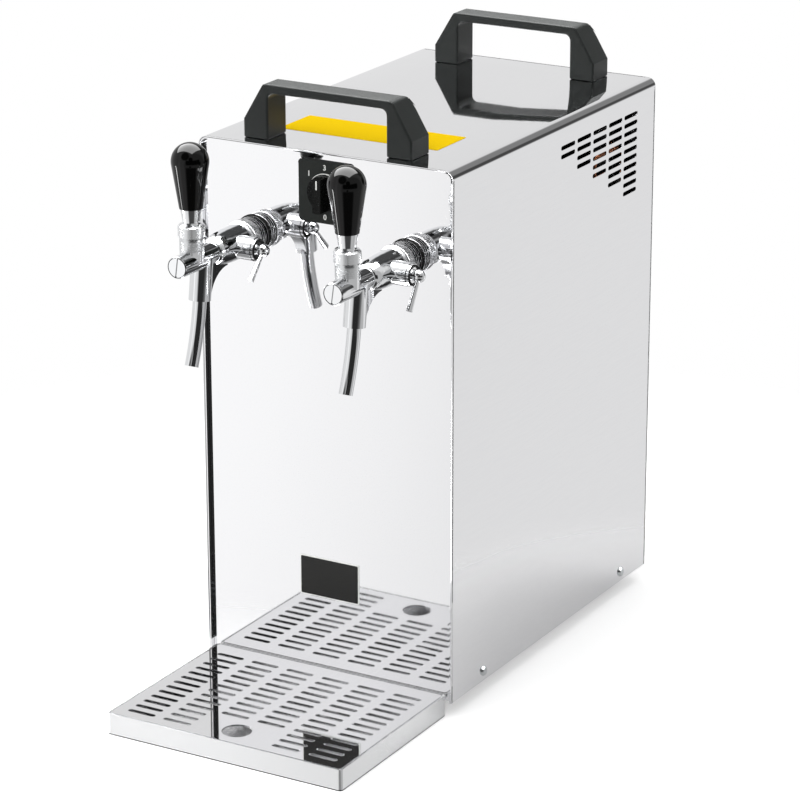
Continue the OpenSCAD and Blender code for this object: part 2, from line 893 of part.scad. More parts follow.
module filter_drier() {
    color(copper)
        translate([-side_x, drier_y, drier_z0])
            rotate_extrude()
                polygon([[0, 0], [pipe_r + 1, 0], [drier_r, 8], [drier_r, drier_l - 8],
                    [pipe_r + 1, drier_l], [0, drier_l]]);
}

// Fins on a serpentine tube between two end plates that stand on the base pan
module condenser() {
    plate = 1.5;
    fin = 0.8;
    fins = floor(cond_w / fin_pitch);
    socket = 1;
    socket_wall = 0.4;
    color(alloy)
        difference() {
            union() {
                for (x = [-1, 1])
                    translate([x * cond_w / 2 - plate / 2, cond_y - cond_d / 2, floor_z])
                        cube([plate, cond_d, cond_z + cond_h]);
                for (i = [1:fins - 1])
                    translate([(i - fins / 2) * cond_w / fins - fin / 2, cond_y - cond_d / 2 + 1, fin_z0])
                        cube([fin, cond_d - 2, cond_h]);
            }
            for (i = [0:cond_tubes - 1])
                translate([0, cond_y, liquid_z + i * tube_step])
                    rod_x(cond_tube_r + run_gap / 2, -cond_w, cond_w);
        }
    color(copper)
        union() {
            for (i = [0:cond_tubes - 1])
                translate([0, cond_y, liquid_z + i * tube_step])
                    rod_x(cond_tube_r, -tube_end_x, tube_end_x);
            for (i = [0:cond_tubes - 2])
                mirror([i % 2, 0, 0])
                    at_frame([tube_end_x - socket, cond_y, liquid_z + (i + 0.5) * tube_step],
                        [0, 0, 1], [1, 0, 0], [0, 1, 0])
                        rotate_extrude(angle = 180)
                            translate([tube_step / 2, 0])
                                circle(r = cond_tube_r + socket_wall);
        }
}

// A plate over the fins with a ring for the blades and a spider that carries the motor
module fan_shroud() {
    wall = 2;
    hub = 20;
    bar = 8;
    color(black)
        translate([0, 0, fan_z]) {
            difference() {
                translate([-cond_w / 2, shroud_y, -cond_h / 2])
                    cube([cond_w, shroud_t, cond_h]);
                rod_y(fan_r, shroud_y - past, shroud_y + shroud_t + past);
            }
            difference() {
                rod_y(fan_r + wall, ring_y, shroud_y);
                rod_y(fan_r, ring_y - past, shroud_y + past);
            }
            difference() {
                union() {
                    rod_y(hub, ring_y, ring_y + spider_t);
                    for (a = [45, 135])
                        rotate([0, a, 0])
                            translate([-fan_r - wall / 2, ring_y, -bar / 2])
                                cube([2 * fan_r + wall, spider_t, bar]);
                }
                rod_y(shaft_r + past, ring_y - past, ring_y + spider_t + past);
            }
        }
}

module fan_motor() {
    color(alloy)
        translate([0, 0, fan_z])
            difference() {
                rod_y(motor_r, motor_y, ring_y);
                rod_y(shaft_r + run_gap, motor_y + motor_l / 3, ring_y + past);
            }
}

// Pitched blades on a hub, with the shaft that runs in the motor
module fan_blades() {
    hub = 15;
    blade_y = ring_y + spider_t + 2;
    depth = shroud_y + shroud_t - blade_y - 2;
    pitch = 28;
    thick = 1.6;
    color(black)
        translate([0, 0, fan_z]) {
            rod_y(hub, blade_y, blade_y + depth);
            rod_y(shaft_r, motor_y + motor_l / 3 + past, blade_y + past);
            intersection() {
                rod_y(fan_r - fan_gap, blade_y, blade_y + depth);
                for (i = [0:fan_blades_n - 1])
                    rotate([0, i * 360 / fan_blades_n, 0])
                        translate([hub / 2, blade_y + depth / 2, 0])
                            rotate([pitch, 0, 0])
                                translate([0, -thick / 2, -fan_r / 3])
                                    cube([fan_r, thick, fan_r * 2 / 3]);
            }
        }
}

module discharge_line() {
    color(copper)
        bent_rod([
            [discharge_x, compressor_y, discharge_z],
            [side_x, compressor_y, discharge_z],
            [side_x, compressor_y, gas_z],
            [side_x, cond_y, gas_z],
            [tube_end_x, cond_y, gas_z]], pipe_r, pipe_bend);
}

module suction_line() {
    color(copper)
        bent_rod([
            [-suction_x, block_y1 - line_gap, suction_top],
            [-suction_x, suction_y, suction_top],
            [-suction_x, suction_y, suction_z],
            [-suction_x, stub_y, suction_z]], suction_r, pipe_bend);
}

module liquid_line() {
    color(copper)
        bent_rod([
            [-tube_end_x, cond_y, liquid_z],
            [-side_x, cond_y, liquid_z],
            [-side_x, drier_y, liquid_z],
            [-side_x, drier_y, drier_z1]], pipe_r, pipe_bend);
}

module capillary() {
    color(copper)
        bent_rod([
            [-side_x, drier_y, drier_z0],
            [-side_x, drier_y, capillary_z],
            [-side_x, capillary_y, capillary_z],
            [-capillary_x, capillary_y, capillary_z],
            [-capillary_x, block_y1 - line_gap, capillary_z]], capillary_r, 5);
}

module beer_line(side) {
    color("#e8eef0")
        bent_rod([
            [tap_at(side), beer_y, block_top],
            [tap_at(side), beer_y, tap_z],
            [tap_at(side), panel_y + shank_back, tap_z]], beer_r, beer_bend);
}

module inlet_line(side) {
    color("#e8eef0")
        translate([side * inlet_x, 0, inlet_abs_z])
            rod_y(beer_r, block_y1 - line_gap, inlet_line_y1);
}

// A push-fit inlet: a round body with a release ring, clamped to the panel by its own nut
module inlet_fitting(side) {
    out = panel_recess + inlet_out;
    color("#3a3c40")
        translate([side * inlet_x, rear_panel_y, inlet_abs_z])
            difference() {
                union() {
                    turned_y([for (p = [[0, inlet_tail], [inlet_r - 2, inlet_tail], [inlet_r - 2, 0],
                        [inlet_r + 2, 0], [inlet_r + 2, -4], [inlet_r, -4], [inlet_r, 5 - out],
                        [inlet_r - 1.5, 5 - out], [inlet_r - 1.5, 2 - out], [inlet_r, 2 - out],
                        [inlet_r, -out], [0, -out]]) p]);
                    rotate([90, 0, 0])
                        translate([0, 0, sheet_t + sheet_gap])
                            cylinder(r = inlet_r + 3, h = 6, $fn = 6);
                }
                rod_y(inlet_bore, out - inlet_depth, out + past);
                rod_y(inlet_bore - 1, -inlet_tail - past, out);
            }
}

// A cable gland with its dome nut outside and its lock nut inside
module cable_gland() {
    r = gland_bore + 2;
    color(black)
        translate([0, rear_panel_y, gland_abs_z])
            difference() {
                union() {
                    rod_y(r, -10, 16);
                    rotate([-90, 0, 0])
                        cylinder(r = r + 4, h = 5, $fn = 6);
                    turned_y([[0, -5], [r + 2.5, -5], [r + 2.5, -12], [r, -16], [0, -16]]);
                    rotate([90, 0, 0])
                        translate([0, 0, sheet_t + sheet_gap])
                            cylinder(r = r + 4, h = 5, $fn = 6);
                }
                rod_y(gland_bore, -10 - past, 16 + past);
            }
}

// The threaded tube through the panel that carries a tap
module tap_shank(side) {
    color(chrome)
        at_tap(side)
            difference() {
                union() {
                    rod_y(shank_r, -shank_front, shank_back);
                    rod_y(shank_flange_r, -shank_flange_t, 0);
                }
                rod_y(shank_bore, -shank_front - past, shank_back + past);
            }
}

module shank_nut(side) {
    color(chrome)
        at_tap(side)
            difference() {
                translate([0, sheet_t, 0])
                    rotate([-90, 0, 0])
                        cylinder(r = shank_r + 6, h = 9, $fn = 6);
                rod_y(shank_r + run_gap, 0, 9 + sheet_t + past);
            }
}

// The ribbed nut that draws the tap's tail onto the shank
module tap_collar(side) {
    rib_pitch = 2.4;
    groove_w = 1.2;
    groove_d = 0.9;
    first_groove = collar_back + 2;
    front_chamfer = 1.2;
    color(chrome)
        at_tap(side)
            difference() {
                turned_y([[0, collar_back], [collar_r - 1, collar_back], [collar_r, collar_back + 1],
                    [collar_r, collar_front - front_chamfer], [collar_r - front_chamfer, collar_front],
                    [0, collar_front]]);
                rod_y(shank_r + run_gap, -collar_front - past, 0);
                rod_y(tail_r + face_gap, -collar_front + collar_lip, -shank_front);
                rod_y(throat_r + face_gap, -collar_front - past, -shank_front);
                for (i = [0:collar_ribs - 1])
                    translate([0, -first_groove - i * rib_pitch, 0])
                        difference() {
                            rod_y(collar_r + past, -groove_w / 2, groove_w / 2);
                            rod_y(collar_r - groove_d, -groove_w, groove_w);
                        }
            }
}

tail_front = collar_front - collar_lip - face_gap;
neck_back = collar_front + 1;
neck_front = neck_back + neck_l;

// The side view of the concave web between the spout socket and the neck
module web_side() {
    web_r = 24.4;
    web_y = spout_out - 3.1;
    difference() {
        translate([-spout_out, -socket_l + 1.5])
            square([spout_out - web_y + web_r, socket_l - 1.5]);
        translate([-web_y + web_r, -neck_r - web_r + 0.5])
            circle(r = web_r);
    }
}

module spout_frame() {
    translate([0, -spout_out, 0])
        rotate([180 - spout_lean, 0, 0])
            children();
}

// One casting: the tail in the collar, the domed neck with its side boss, the barrel, the boss under
// the lever and the spout socket with its web
module tap_body(side) {
    web_t = 9;
    neck_blend = 0.8 * neck_l;
    rim = 0.5;
    color(chrome)
        at_tap(side)
            difference() {
                union() {
                    turned_y(concat(
                        [[0, shank_front + sheet_gap], [tail_r, shank_front + sheet_gap],
                            [tail_r, tail_front], [throat_r, tail_front], [throat_r, neck_back],
                            [neck_r - 1, neck_back], [neck_r, neck_back + 1]],
                        [for (a = [0:15:90])
                            [barrel_r + (neck_r - barrel_r) * cos(a),
                                neck_front - neck_blend * (1 - sin(a))]],
                        [[barrel_r, barrel_out - rim], [barrel_r - rim, barrel_out], [0, barrel_out]]));
                    translate([0, -lever_out, 0]) {
                        cylinder(r = dome_r, h = collar_seat);
                        cylinder(r = boss_r, h = boss_top);
                    }
                    translate([0, -comp_out, 0])
                        rod_x(comp_r, 0, comp_l);
                    spout_frame()
                        cylinder(r = socket_r, h = socket_l);
                    translate([-web_t / 2, 0, 0])
                        rotate([90, 0, 90])
                            linear_extrude(web_t)
                                web_side();
                }
                rod_y(shank_bore, -seat_back, 0);
                rod_y(chamber_r, -seat_back, -chamber_back);
                rod_y(seat_r, -seat_front - past, -seat_back + past);
                rod_y(plunger_r + run_gap, -barrel_out, -seat_front);
                rod_y(cap_r + run_gap, -barrel_out - past, -barrel_out + cap_t);
                translate([0, -comp_out, 0])
                    rod_x(comp_shaft_r + run_gap, 0, comp_l + past);
                spout_frame() {
                    cylinder(r = spout_r - spout_wall, h = socket_l + past);
                    translate([0, 0, socket_l - spout_in])
                        cylinder(r = spout_r + run_gap, h = spout_in + past);
                }
                translate([0, -lever_out, pivot_h]) {
                    sphere(r = ball_r + run_gap);
                    lever_slot();
                }
            }
}

// The opening under the ball in which the lever's rod swings back
module lever_slot() {
    reach = pivot_h * sin(lever_swing) * 0.6 + rod_r;
    half = rod_r + 0.7;
    translate([-half, -half, -pivot_h])
        cube([2 * half, half + reach + 0.7, pivot_h]);
}

// The domed nut that holds the lever's ball in the boss
module lever_collar(side) {
    color(chrome)
        at_tap(side)
            translate([0, -lever_out, pivot_h])
                difference() {
                    union() {
                        translate([0, 0, -collar_skirt])
                            cylinder(r = dome_r, h = collar_skirt);
                        intersection() {
                            sphere(r = dome_r);
                            cylinder(r = dome_r + past, h = dome_h);
                        }
                    }
                    translate([0, 0, -collar_skirt - past])
                        cylinder(r = boss_r + run_gap, h = collar_skirt + past + boss_top - pivot_h + 0.2);
                    sphere(r = ball_r + run_gap);
                    cylinder(r1 = 0, r2 = dome_r * tan(mouth_angle), h = dome_r);
                }
}

// A bent tube, seated in the spout socket
module tap_spout(side) {
    radius = spout_l / (spout_curve * PI / 180);
    color(chrome)
        at_tap(side)
            spout_frame() {
                translate([0, 0, socket_l - spout_in + sheet_gap])
                    difference() {
                        cylinder(r = spout_r, h = spout_in - sheet_gap);
                        translate([0, 0, -past])
                            cylinder(r = spout_r - spout_wall, h = spout_in + 2 * past);
                    }
                at_frame([0, radius, socket_l], [0, -1, 0], [0, 0, 1], [-1, 0, 0])
                    rotate_extrude(angle = spout_curve)
                        translate([radius, 0])
                            difference() {
                                circle(r = spout_r);
                                circle(r = spout_r - spout_wall);
                            }
            }
}

// The slotted plug that closes the barrel
module front_cap(side) {
    slot_w = 1.4;
    slot_d = 0.8;
    color(chrome)
        at_tap(side)
            difference() {
                union() {
                    rod_y(cap_r, -barrel_out, -barrel_out + cap_t - 0.05);
                    rod_y(plunger_r - run_gap, -barrel_out + cap_t / 2, -barrel_out + 5);
                }
                rotate([0, 8, 0])
                    translate([-slot_w / 2, -barrel_out - past, -barrel_r])
                        cube([slot_w, slot_d + past, 2 * barrel_r]);
            }
}

// Ring, ferrule, ball and rod in one turned piece, with the stud that the grip screws onto
module lever(side) {
    color(chrome)
        translate([tap_at(side), lever_y, pivot_z]) {
            difference() {
                rotate_extrude()
                    polygon([[0, ring_z0], [ring_r, ring_z0], [ring_r, ferrule_z0 - 1.5],
                        [ring_r - 1.2, ferrule_z0], [ferrule_r + 0.6, ferrule_z0 + 0.6],
                        [ferrule_r, ferrule_z0 + 1.8], [grip_foot_r - 0.6, grip_z0], [0, grip_z0]]);
                sphere(r = cup_r);
            }
            cylinder(r = lever_neck_r, h = cup_r + past);
            sphere(r = ball_r);
            translate([0, 0, -pivot_h])
                cylinder(r = rod_r, h = pivot_h);
            translate([0, 0, -pivot_h])
                sphere(r = tip_r);
            translate([0, 0, grip_z0 - past])
                cylinder(r = stud_r, h = stud_l + past);
        }
}

// A tapered grip with a round head
module grip(side) {
    centre = grip_h - grip_r;
    taper = atan((grip_r - grip_foot_r) / centre);
    color(black)
        translate([tap_at(side), lever_y, pivot_z + grip_z0])
            difference() {
                union() {
                    cylinder(r1 = grip_foot_r, r2 = grip_r * cos(taper), h = centre - grip_r * sin(taper));
                    translate([0, 0, centre])
                        sphere(r = grip_r);
                }
                translate([0, 0, -past])
                    cylinder(r = stud_r + run_gap, h = stud_l + past + 0.2);
            }
}

// A guide with a slot for the lever's tip, a stem through the seat and the valve head behind it
module plunger(side) {
    guide_r = plunger_r - 0.2;
    guide_back = lever_out - 6;
    guide_front = lever_out + 9;
    head_r = seat_r + 1.4;
    head_t = 3.4;
    notch_z = 1.8;
    color(alloy)
        at_tap(side)
            difference() {
                union() {
                    rod_y(guide_r, -guide_front, -guide_back);
                    rod_y(seat_r - 1.6, -guide_back - past, -seat_back + face_gap);
                    rod_y(head_r, -seat_back + face_gap, -seat_back + face_gap + head_t);
                }
                translate([0, -lever_out, 0]) {
                    translate([-plunger_slot, -plunger_slot, -tip_r - 0.8])
                        cube([2 * plunger_slot, 2 * plunger_slot, tip_r + 0.8 + plunger_r]);
                    translate([-plunger_slot, -plunger_slot - 2.6, notch_z])
                        cube([2 * plunger_slot, 2 * plunger_slot + 2.6, plunger_r]);
                }
            }
}

function arm_lean(side) = side > 0 ? right_arm_lean : left_arm_lean;

// A shaft with an eccentric pin inside the neck, and outside a ring, a ball and an arm
module compensator_lever(side) {
    color(chrome)
        translate([tap_at(side), comp_y, tap_z]) {
            rod_x(comp_shaft_r, shaft_x0, comp_ball_x);
            translate([0, 0, pin_offset])
                rod_x(pin_r, shaft_x0 - 4, shaft_x0 + past);
            rod_x(comp_ring_r, comp_l + face_gap, comp_l + face_gap + comp_ring_t);
            translate([comp_ball_x, 0, 0])
                sphere(r = comp_ball_r);
            translate([comp_ball_x, 0, 0])
                rotate([180 - arm_lean(side), 0, 0])
                    cylinder(r1 = arm_root_r, r2 = comp_arm_r, h = comp_arm_l);
        }
}

// The throttling cone in the neck, slotted for the eccentric pin
module compensator_cone(side) {
    groove = pin_r + 0.5;
    color(alloy)
        translate([tap_at(side), comp_y, tap_z])
            difference() {
                turned_y([[0, -cone_back], [cone_r / 2, -cone_back], [cone_r, -cone_front],
                    [cone_r, cone_front], [0, cone_front]]);
                translate([shaft_x0 - 4.4, -groove, -chamber_r])
                    cube([chamber_r, 2 * groove, 2 * chamber_r]);
            }
}

// An open box of sheet steel with a ledge inside its rim
module drip_tray() {
    inner_r = tray_r - tray_t;
    color(steel)
        translate([0, tray_y0 + tray_d / 2, 0])
            difference() {
                linear_extrude(tray_h)
                    round_rect(tray_w, tray_d, tray_r);
                translate([0, 0, tray_t])
                    linear_extrude(tray_h - 2 * tray_t - grid_t)
                        round_rect(tray_w - 2 * tray_t, tray_d - 2 * tray_t, inner_r);
                translate([0, 0, tray_t])
                    linear_extrude(tray_h)
                        round_rect(tray_w - 2 * tray_t - 2 * ledge_w, tray_d - 2 * tray_t - 2 * ledge_w,
                            inner_r);
                translate([0, 0, tray_h - grid_t])
                    linear_extrude(tray_h)
                        round_rect(tray_w - 2 * tray_t, tray_d - 2 * tray_t, inner_r);
            }
}

// The slotted plate: the middle columns stop short of the finger hole
module drip_grid() {
    columns = 6;
    skipped = ceil((finger_in + finger_r + 4 - grid_first) / grid_pitch_y);
    color(steel)
        translate([0, tray_y0 + tray_d / 2, tray_h - grid_t])
            difference() {
                linear_extrude(grid_t)
                    round_rect(tray_w - 2 * tray_t - 2 * grid_gap, tray_d - 2 * tray_t - 2 * grid_gap,
                        tray_r - tray_t);
                for (c = [0:columns - 1], row = [(c == 2 || c == 3 ? skipped : 0):grid_rows - 1])
                    translate([(c - (columns - 1) / 2) * grid_pitch_x,
                        grid_first + row * grid_pitch_y - tray_d / 2, -past])
                        linear_extrude(grid_t + 2 * past)
                            slot(grid_slot_l, grid_slot_w);
                translate([0, finger_in - tray_d / 2, -past])
                    cylinder(r = finger_r, h = grid_t + 2 * past);
            }
}

base_pan();
casing_wrap();
front_panel();
rear_panel();
casing_screws();
feet();
front_handle();
rear_handle();
handle_screws();
thermostat_plate();
thermostat_body();
thermostat_knob();
sensor_line();
cooling_block();
insulation_jacket();
compressor();
compressor_mounts();
terminal_box();
filter_drier();
condenser();
fan_shroud();
fan_motor();
fan_blades();
discharge_line();
suction_line();
liquid_line();
capillary();
beer_line(-1);  // left_beer_line
beer_line(1);  // right_beer_line
inlet_line(-1);  // left_inlet_line
inlet_line(1);  // right_inlet_line
inlet_fitting(-1);  // left_inlet_fitting
inlet_fitting(1);  // right_inlet_fitting
cable_gland();
tap_shank(-1);  // left_tap_shank
tap_shank(1);  // right_tap_shank
shank_nut(-1);  // left_shank_nut
shank_nut(1);  // right_shank_nut
tap_collar(-1);  // left_tap_collar
tap_collar(1);  // right_tap_collar
tap_body(-1);  // left_tap_body
tap_body(1);  // right_tap_body
lever_collar(-1);  // left_lever_collar
lever_collar(1);  // right_lever_collar
tap_spout(-1);  // left_tap_spout
tap_spout(1);  // right_tap_spout
front_cap(-1);  // left_front_cap
front_cap(1);  // right_front_cap
lever(-1);  // left_lever
lever(1);  // right_lever
grip(-1);  // left_grip
grip(1);  // right_grip
plunger(-1);  // left_plunger
plunger(1);  // right_plunger
compensator_lever(-1);  // left_compensator_lever
compensator_lever(1);  // right_compensator_lever
compensator_cone(-1);  // left_compensator_cone
compensator_cone(1);  // right_compensator_cone
drip_tray();
drip_grid();
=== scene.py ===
"""Looks of the draft beer dispenser: finishes for the CAD nodes, small trim that the solids leave out, a studio."""
import json
import math

import bmesh
import bpy
import numpy as np
from mathutils import Matrix, Vector


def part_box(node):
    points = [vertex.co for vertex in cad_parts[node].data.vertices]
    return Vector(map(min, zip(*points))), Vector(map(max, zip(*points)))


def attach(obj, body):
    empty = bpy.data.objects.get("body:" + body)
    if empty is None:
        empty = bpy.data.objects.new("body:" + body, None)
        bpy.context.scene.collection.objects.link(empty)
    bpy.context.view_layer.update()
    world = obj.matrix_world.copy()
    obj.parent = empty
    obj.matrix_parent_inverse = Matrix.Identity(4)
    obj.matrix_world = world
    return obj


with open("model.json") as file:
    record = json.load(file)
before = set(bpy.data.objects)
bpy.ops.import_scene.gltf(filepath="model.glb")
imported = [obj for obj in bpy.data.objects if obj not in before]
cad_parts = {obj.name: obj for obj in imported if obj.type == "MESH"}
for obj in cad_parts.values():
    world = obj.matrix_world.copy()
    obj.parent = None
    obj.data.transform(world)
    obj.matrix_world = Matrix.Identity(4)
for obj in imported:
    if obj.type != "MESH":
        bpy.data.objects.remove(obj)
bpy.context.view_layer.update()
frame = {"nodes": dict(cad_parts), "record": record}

nodes = frame["nodes"]
scene = bpy.context.scene
scene.view_settings.view_transform = "Standard"

MM = 0.001
SIDES = ("left", "right")
# Settings that many shader nodes share
SMOOTH = {"interpolation_type": "SMOOTHSTEP"}
COLOURS = {"data_type": "RGBA"}
NUMBERS = {"data_type": "FLOAT"}
# The range that most of a noise texture's values fall in
NOISE_LOW, NOISE_HIGH = 0.3, 0.7
# Painted shade: the colour of the dark lines painted where shade falls in grooves, along joints and along a lower edge
SHADE_LINE_COLOUR = "#1A1A1B"
# Points of a solid's loose triangles that lie this close are one point
WELD = 0.002 * MM
# Edges that turn less than this are shaded as round, and edges that turn more than this may be broken
ROUND_UNDER, BREAK_OVER = math.radians(30), math.radians(50)


def linear(hex_colour):
    """An sRGB hex colour as linear RGBA."""
    srgb = np.array([int(hex_colour[i:i + 2], 16) for i in (1, 3, 5)]) / 255
    rgb = np.where(srgb <= 0.04045, srgb / 12.92, ((srgb + 0.055) / 1.055) ** 2.4)
    return (*rgb.tolist(), 1.0)


def box_mm(node):
    """A node's lowest and highest corners in millimetres."""
    low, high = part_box(node)
    return np.array(low) / MM, np.array(high) / MM


def add(tree, kind, props=None, values=None, links=None):
    """Adds one node: props are its own settings, values its constant inputs, links its inputs' source sockets."""
    node = tree.nodes.new(kind)
    for name, value in (props or {}).items():
        setattr(node, name, value)
    for name, value in (values or {}).items():
        node.inputs[name].default_value = value
    for name, source in (links or {}).items():
        tree.links.new(source, node.inputs[name])
    return node


def new_material(name, **values):
    """A material with one Principled shader, whose constant inputs are the values given."""
    material = bpy.data.materials.new(name)
    material.use_nodes = True
    tree = material.node_tree
    tree.nodes.clear()
    shader = add(tree, "ShaderNodeBsdfPrincipled", values={k.replace("_", " "): v for k, v in values.items()})
    add(tree, "ShaderNodeOutputMaterial", links={"Surface": shader.outputs[0]})
    place = add(tree, "ShaderNodeTexCoord").outputs["Object"]
    return material, tree, shader, place


def worn_finish(name, pale, deep, rough, grain_mm, stretch=(1, 1, 1), bump_mm=0.0, wave_mm=None, band=None,
                lines=None, **values):
    """Colour between pale and deep and roughness between two limits, both following noise of grain_mm.

    Grain that is too fine to show is drawn as coarse as it needs to show.
    stretch draws the noise out along an axis, as rolling, brushing or turning does; bump_mm raises it.
    wave_mm = (length, height) raises the slow waves of thin sheet instead, which bend what it mirrors.
    band = (lowest, highest, roughness) gives the heights between two limits in millimetres a roughness of their own.
    lines = (axis, first, pitch, count, width) paints shade as a row of dark lines across an axis, in millimetres:
    in grooves, along joints and along a lower edge, where shade falls.
    """
    material, tree, shader, place = new_material(name, **values)
    stretched = add(tree, "ShaderNodeMapping", values={"Scale": stretch}, links={"Vector": place})
    noise = add(tree, "ShaderNodeTexNoise", values={"Scale": 1 / (grain_mm * MM), "Detail": 4.0},
                links={"Vector": stretched.outputs[0]})
    colour = add(tree, "ShaderNodeMix", COLOURS, {6: linear(deep), 7: linear(pale)}, {"Factor": noise.outputs[0]})
    spread = add(tree, "ShaderNodeMapRange",
                 values={"From Min": NOISE_LOW, "From Max": NOISE_HIGH, "To Min": rough[0], "To Max": rough[1]},
                 links={"Value": noise.outputs[0]})
    tree.links.new(colour.outputs[2], shader.inputs["Base Color"])
    tree.links.new(spread.outputs[0], shader.inputs["Roughness"])
    if band:
        low, high, dull = band
        along = add(tree, "ShaderNodeSeparateXYZ", links={0: place})
        inside = add(tree, "ShaderNodeMath", {"operation": "COMPARE"},
                     {1: (low + high) / 2 * MM, 2: (high - low) / 2 * MM}, {0: along.outputs["Z"]})
        banded = add(tree, "ShaderNodeMix", NUMBERS, {3: dull}, {"Factor": inside.outputs[0], 2: spread.outputs[0]})
        tree.links.new(banded.outputs[0], shader.inputs["Roughness"])
    if lines:
        axis, first, pitch, count, width = lines
        along = add(tree, "ShaderNodeSeparateXYZ", links={0: place})
        start = add(tree, "ShaderNodeMath", {"operation": "SUBTRACT"}, {1: first * MM}, {0: along.outputs[axis]})
        row = add(tree, "ShaderNodeMath", {"operation": "COMPARE"},
                  {1: (count - 1) * pitch / 2 * MM, 2: count * pitch / 2 * MM}, {0: start.outputs[0]})
        near = add(tree, "ShaderNodeMath", {"operation": "WRAP"}, {1: pitch / 2 * MM, 2: -pitch / 2 * MM},
                   {0: start.outputs[0]})
        line = add(tree, "ShaderNodeMath", {"operation": "COMPARE"}, {1: 0.0, 2: width / 2 * MM}, {0: near.outputs[0]})
        dark = add(tree, "ShaderNodeMath", {"operation": "MULTIPLY"}, links={0: row.outputs[0], 1: line.outputs[0]})
        # Painted shade: the dark lines go into the base colour where shade falls in grooves, joints and under a lower
        # edge
        painted_shade = add(tree, "ShaderNodeMix", COLOURS, {7: linear(SHADE_LINE_COLOUR)},
                    {"Factor": dark.outputs[0], 6: colour.outputs[2]})
        tree.links.new(painted_shade.outputs[2], shader.inputs["Base Color"])
    if bump_mm:
        bump = add(tree, "ShaderNodeBump", values={"Strength": 1.0, "Distance": bump_mm * MM},
                   links={"Height": noise.outputs[0]})
        tree.links.new(bump.outputs[0], shader.inputs["Normal"])
    if wave_mm:
        length, height = wave_mm
        wave = add(tree, "ShaderNodeTexNoise", values={"Scale": 1 / (length * MM), "Detail": 0.0},
                   links={"Vector": place})
        bump = add(tree, "ShaderNodeBump", values={"Strength": 1.0, "Distance": height * MM},
                   links={"Height": wave.outputs[0]})
        tree.links.new(bump.outputs[0], shader.inputs["Normal"])
    return material


# Mirror-polished stainless sheet: clear reflections, bent a little by the slow waves of thin sheet
polished_steel = worn_finish("stainless_sheet_mirror_polished", "#F1F1F2", "#ECECEE", (0.02, 0.05), 1.2,
                             (1, 0.05, 1), wave_mm=(90.0, 0.10), Metallic=1.0)
# Bright chrome plate on cast brass: the clearest mirror on the part
chrome = worn_finish("brass_casting_chrome_plated", "#F1F2F3", "#EAEBED", (0.015, 0.04), 6.0, Metallic=1.0)
# Satin chrome on finely turned brass: the turning marks spread reflections up and down
satin_chrome = worn_finish("brass_turned_satin_chrome", "#EDEEEF", "#DFE1E3", (0.22, 0.32), 0.7, (0.1, 0.1, 1),
                           Metallic=1.0)
# The couplings' collars and shank flanges: satin chrome too, with a row of dark lines of painted shade that starts in
# the collar's turned grooves and ends at the panel, where shade falls in the grooves and the joints
GROOVES, GROOVE_PITCH, GROOVE_INSET = 3, 2.4, 2.0
DARK_LINES, LINE_WIDTH = 5, 1.3
front_groove = box_mm("left_tap_collar")[1][1] - GROOVE_INSET - (GROOVES - 1) * GROOVE_PITCH
collar_chrome = worn_finish("brass_collar_satin_chrome", "#F4F4F5", "#EBECEE", (0.34, 0.42), 0.9, (1, 0.2, 1),
                            lines=("Y", front_groove, GROOVE_PITCH, DARK_LINES, LINE_WIDTH), Metallic=1.0)
# The lever's chrome: its ring, between these heights, is turned and left satin, the rest is buffed bright
RING_LOW, RING_HIGH, RING_ROUGHNESS = 379.4, 388.0, 0.26
lever_chrome = worn_finish("brass_lever_chrome_plated", "#F1F2F3", "#EAEBED", (0.015, 0.04), 6.0,
                           band=(RING_LOW, RING_HIGH, RING_ROUGHNESS), Metallic=1.0)
# Brushed stainless of the drip tray: fine lines across it, which blur what it mirrors, and a dark line of painted
# contact shadow round its foot, whose lower half is below the tray
FOOT_SHADOW_LINE = 1.6
brushed_steel = worn_finish("stainless_tray_brushed", "#F2F2F3", "#EBECED", (0.18, 0.24), 0.9, (0.04, 1, 1),
                            lines=("Z", box_mm("drip_tray")[0][2], FOOT_SHADOW_LINE, 1, FOOT_SHADOW_LINE), Metallic=1.0)
# Zinc-plated screw steel: a little duller than chrome
zinc = worn_finish("screw_steel_zinc_plated", "#D9DBDC", "#BFC3C6", (0.16, 0.3), 0.8, Metallic=1.0)
# Satin black nylon, moulded in a spark-eroded tool: an even fine grain
satin_nylon = worn_finish("glass_filled_nylon_moulded", "#272A29", "#1E2120", (0.36, 0.48), 0.7, bump_mm=0.02,
                          Metallic=0.0, Specular_IOR_Level=0.25)
# Gloss black phenolic, turned and buffed: deep black with sharp highlights
phenolic = worn_finish("phenolic_resin_buffed", "#030303", "#010101", (0.02, 0.05), 9.0, Metallic=0.0,
                       Specular_IOR_Level=0.3)
# Black ABS plate with a fine leather-like moulded grain
abs_plate = worn_finish("abs_plate_moulded", "#2B2E2C", "#212322", (0.5, 0.6), 0.5, bump_mm=0.015, Metallic=0.0,
                        Specular_IOR_Level=0.15)
# Black ABS of the turning knob: smoother and deeper than the plate
abs_knob = worn_finish("abs_knob_moulded", "#0E0F0E", "#070807", (0.22, 0.34), 1.5, Metallic=0.0,
                       Specular_IOR_Level=0.15)
# Rubber with bloom: dull and slightly patchy
rubber = worn_finish("rubber_moulded", "#1B1B1B", "#0F0F0F", (0.6, 0.75), 1.5, bump_mm=0.03, Metallic=0.0,
                     Specular_IOR_Level=0.3)
# Grey acetal, turned: smooth and waxy
acetal = worn_finish("acetal_turned", "#7C8083", "#6A6E71", (0.28, 0.4), 2.0, Metallic=0.0)
# Mill-finish aluminium: soft silver with fine drawn lines
aluminium = worn_finish("aluminium_mill_finish", "#CDD0D3", "#B4B8BC", (0.3, 0.42), 0.6, (1, 1, 0.1), Metallic=1.0)
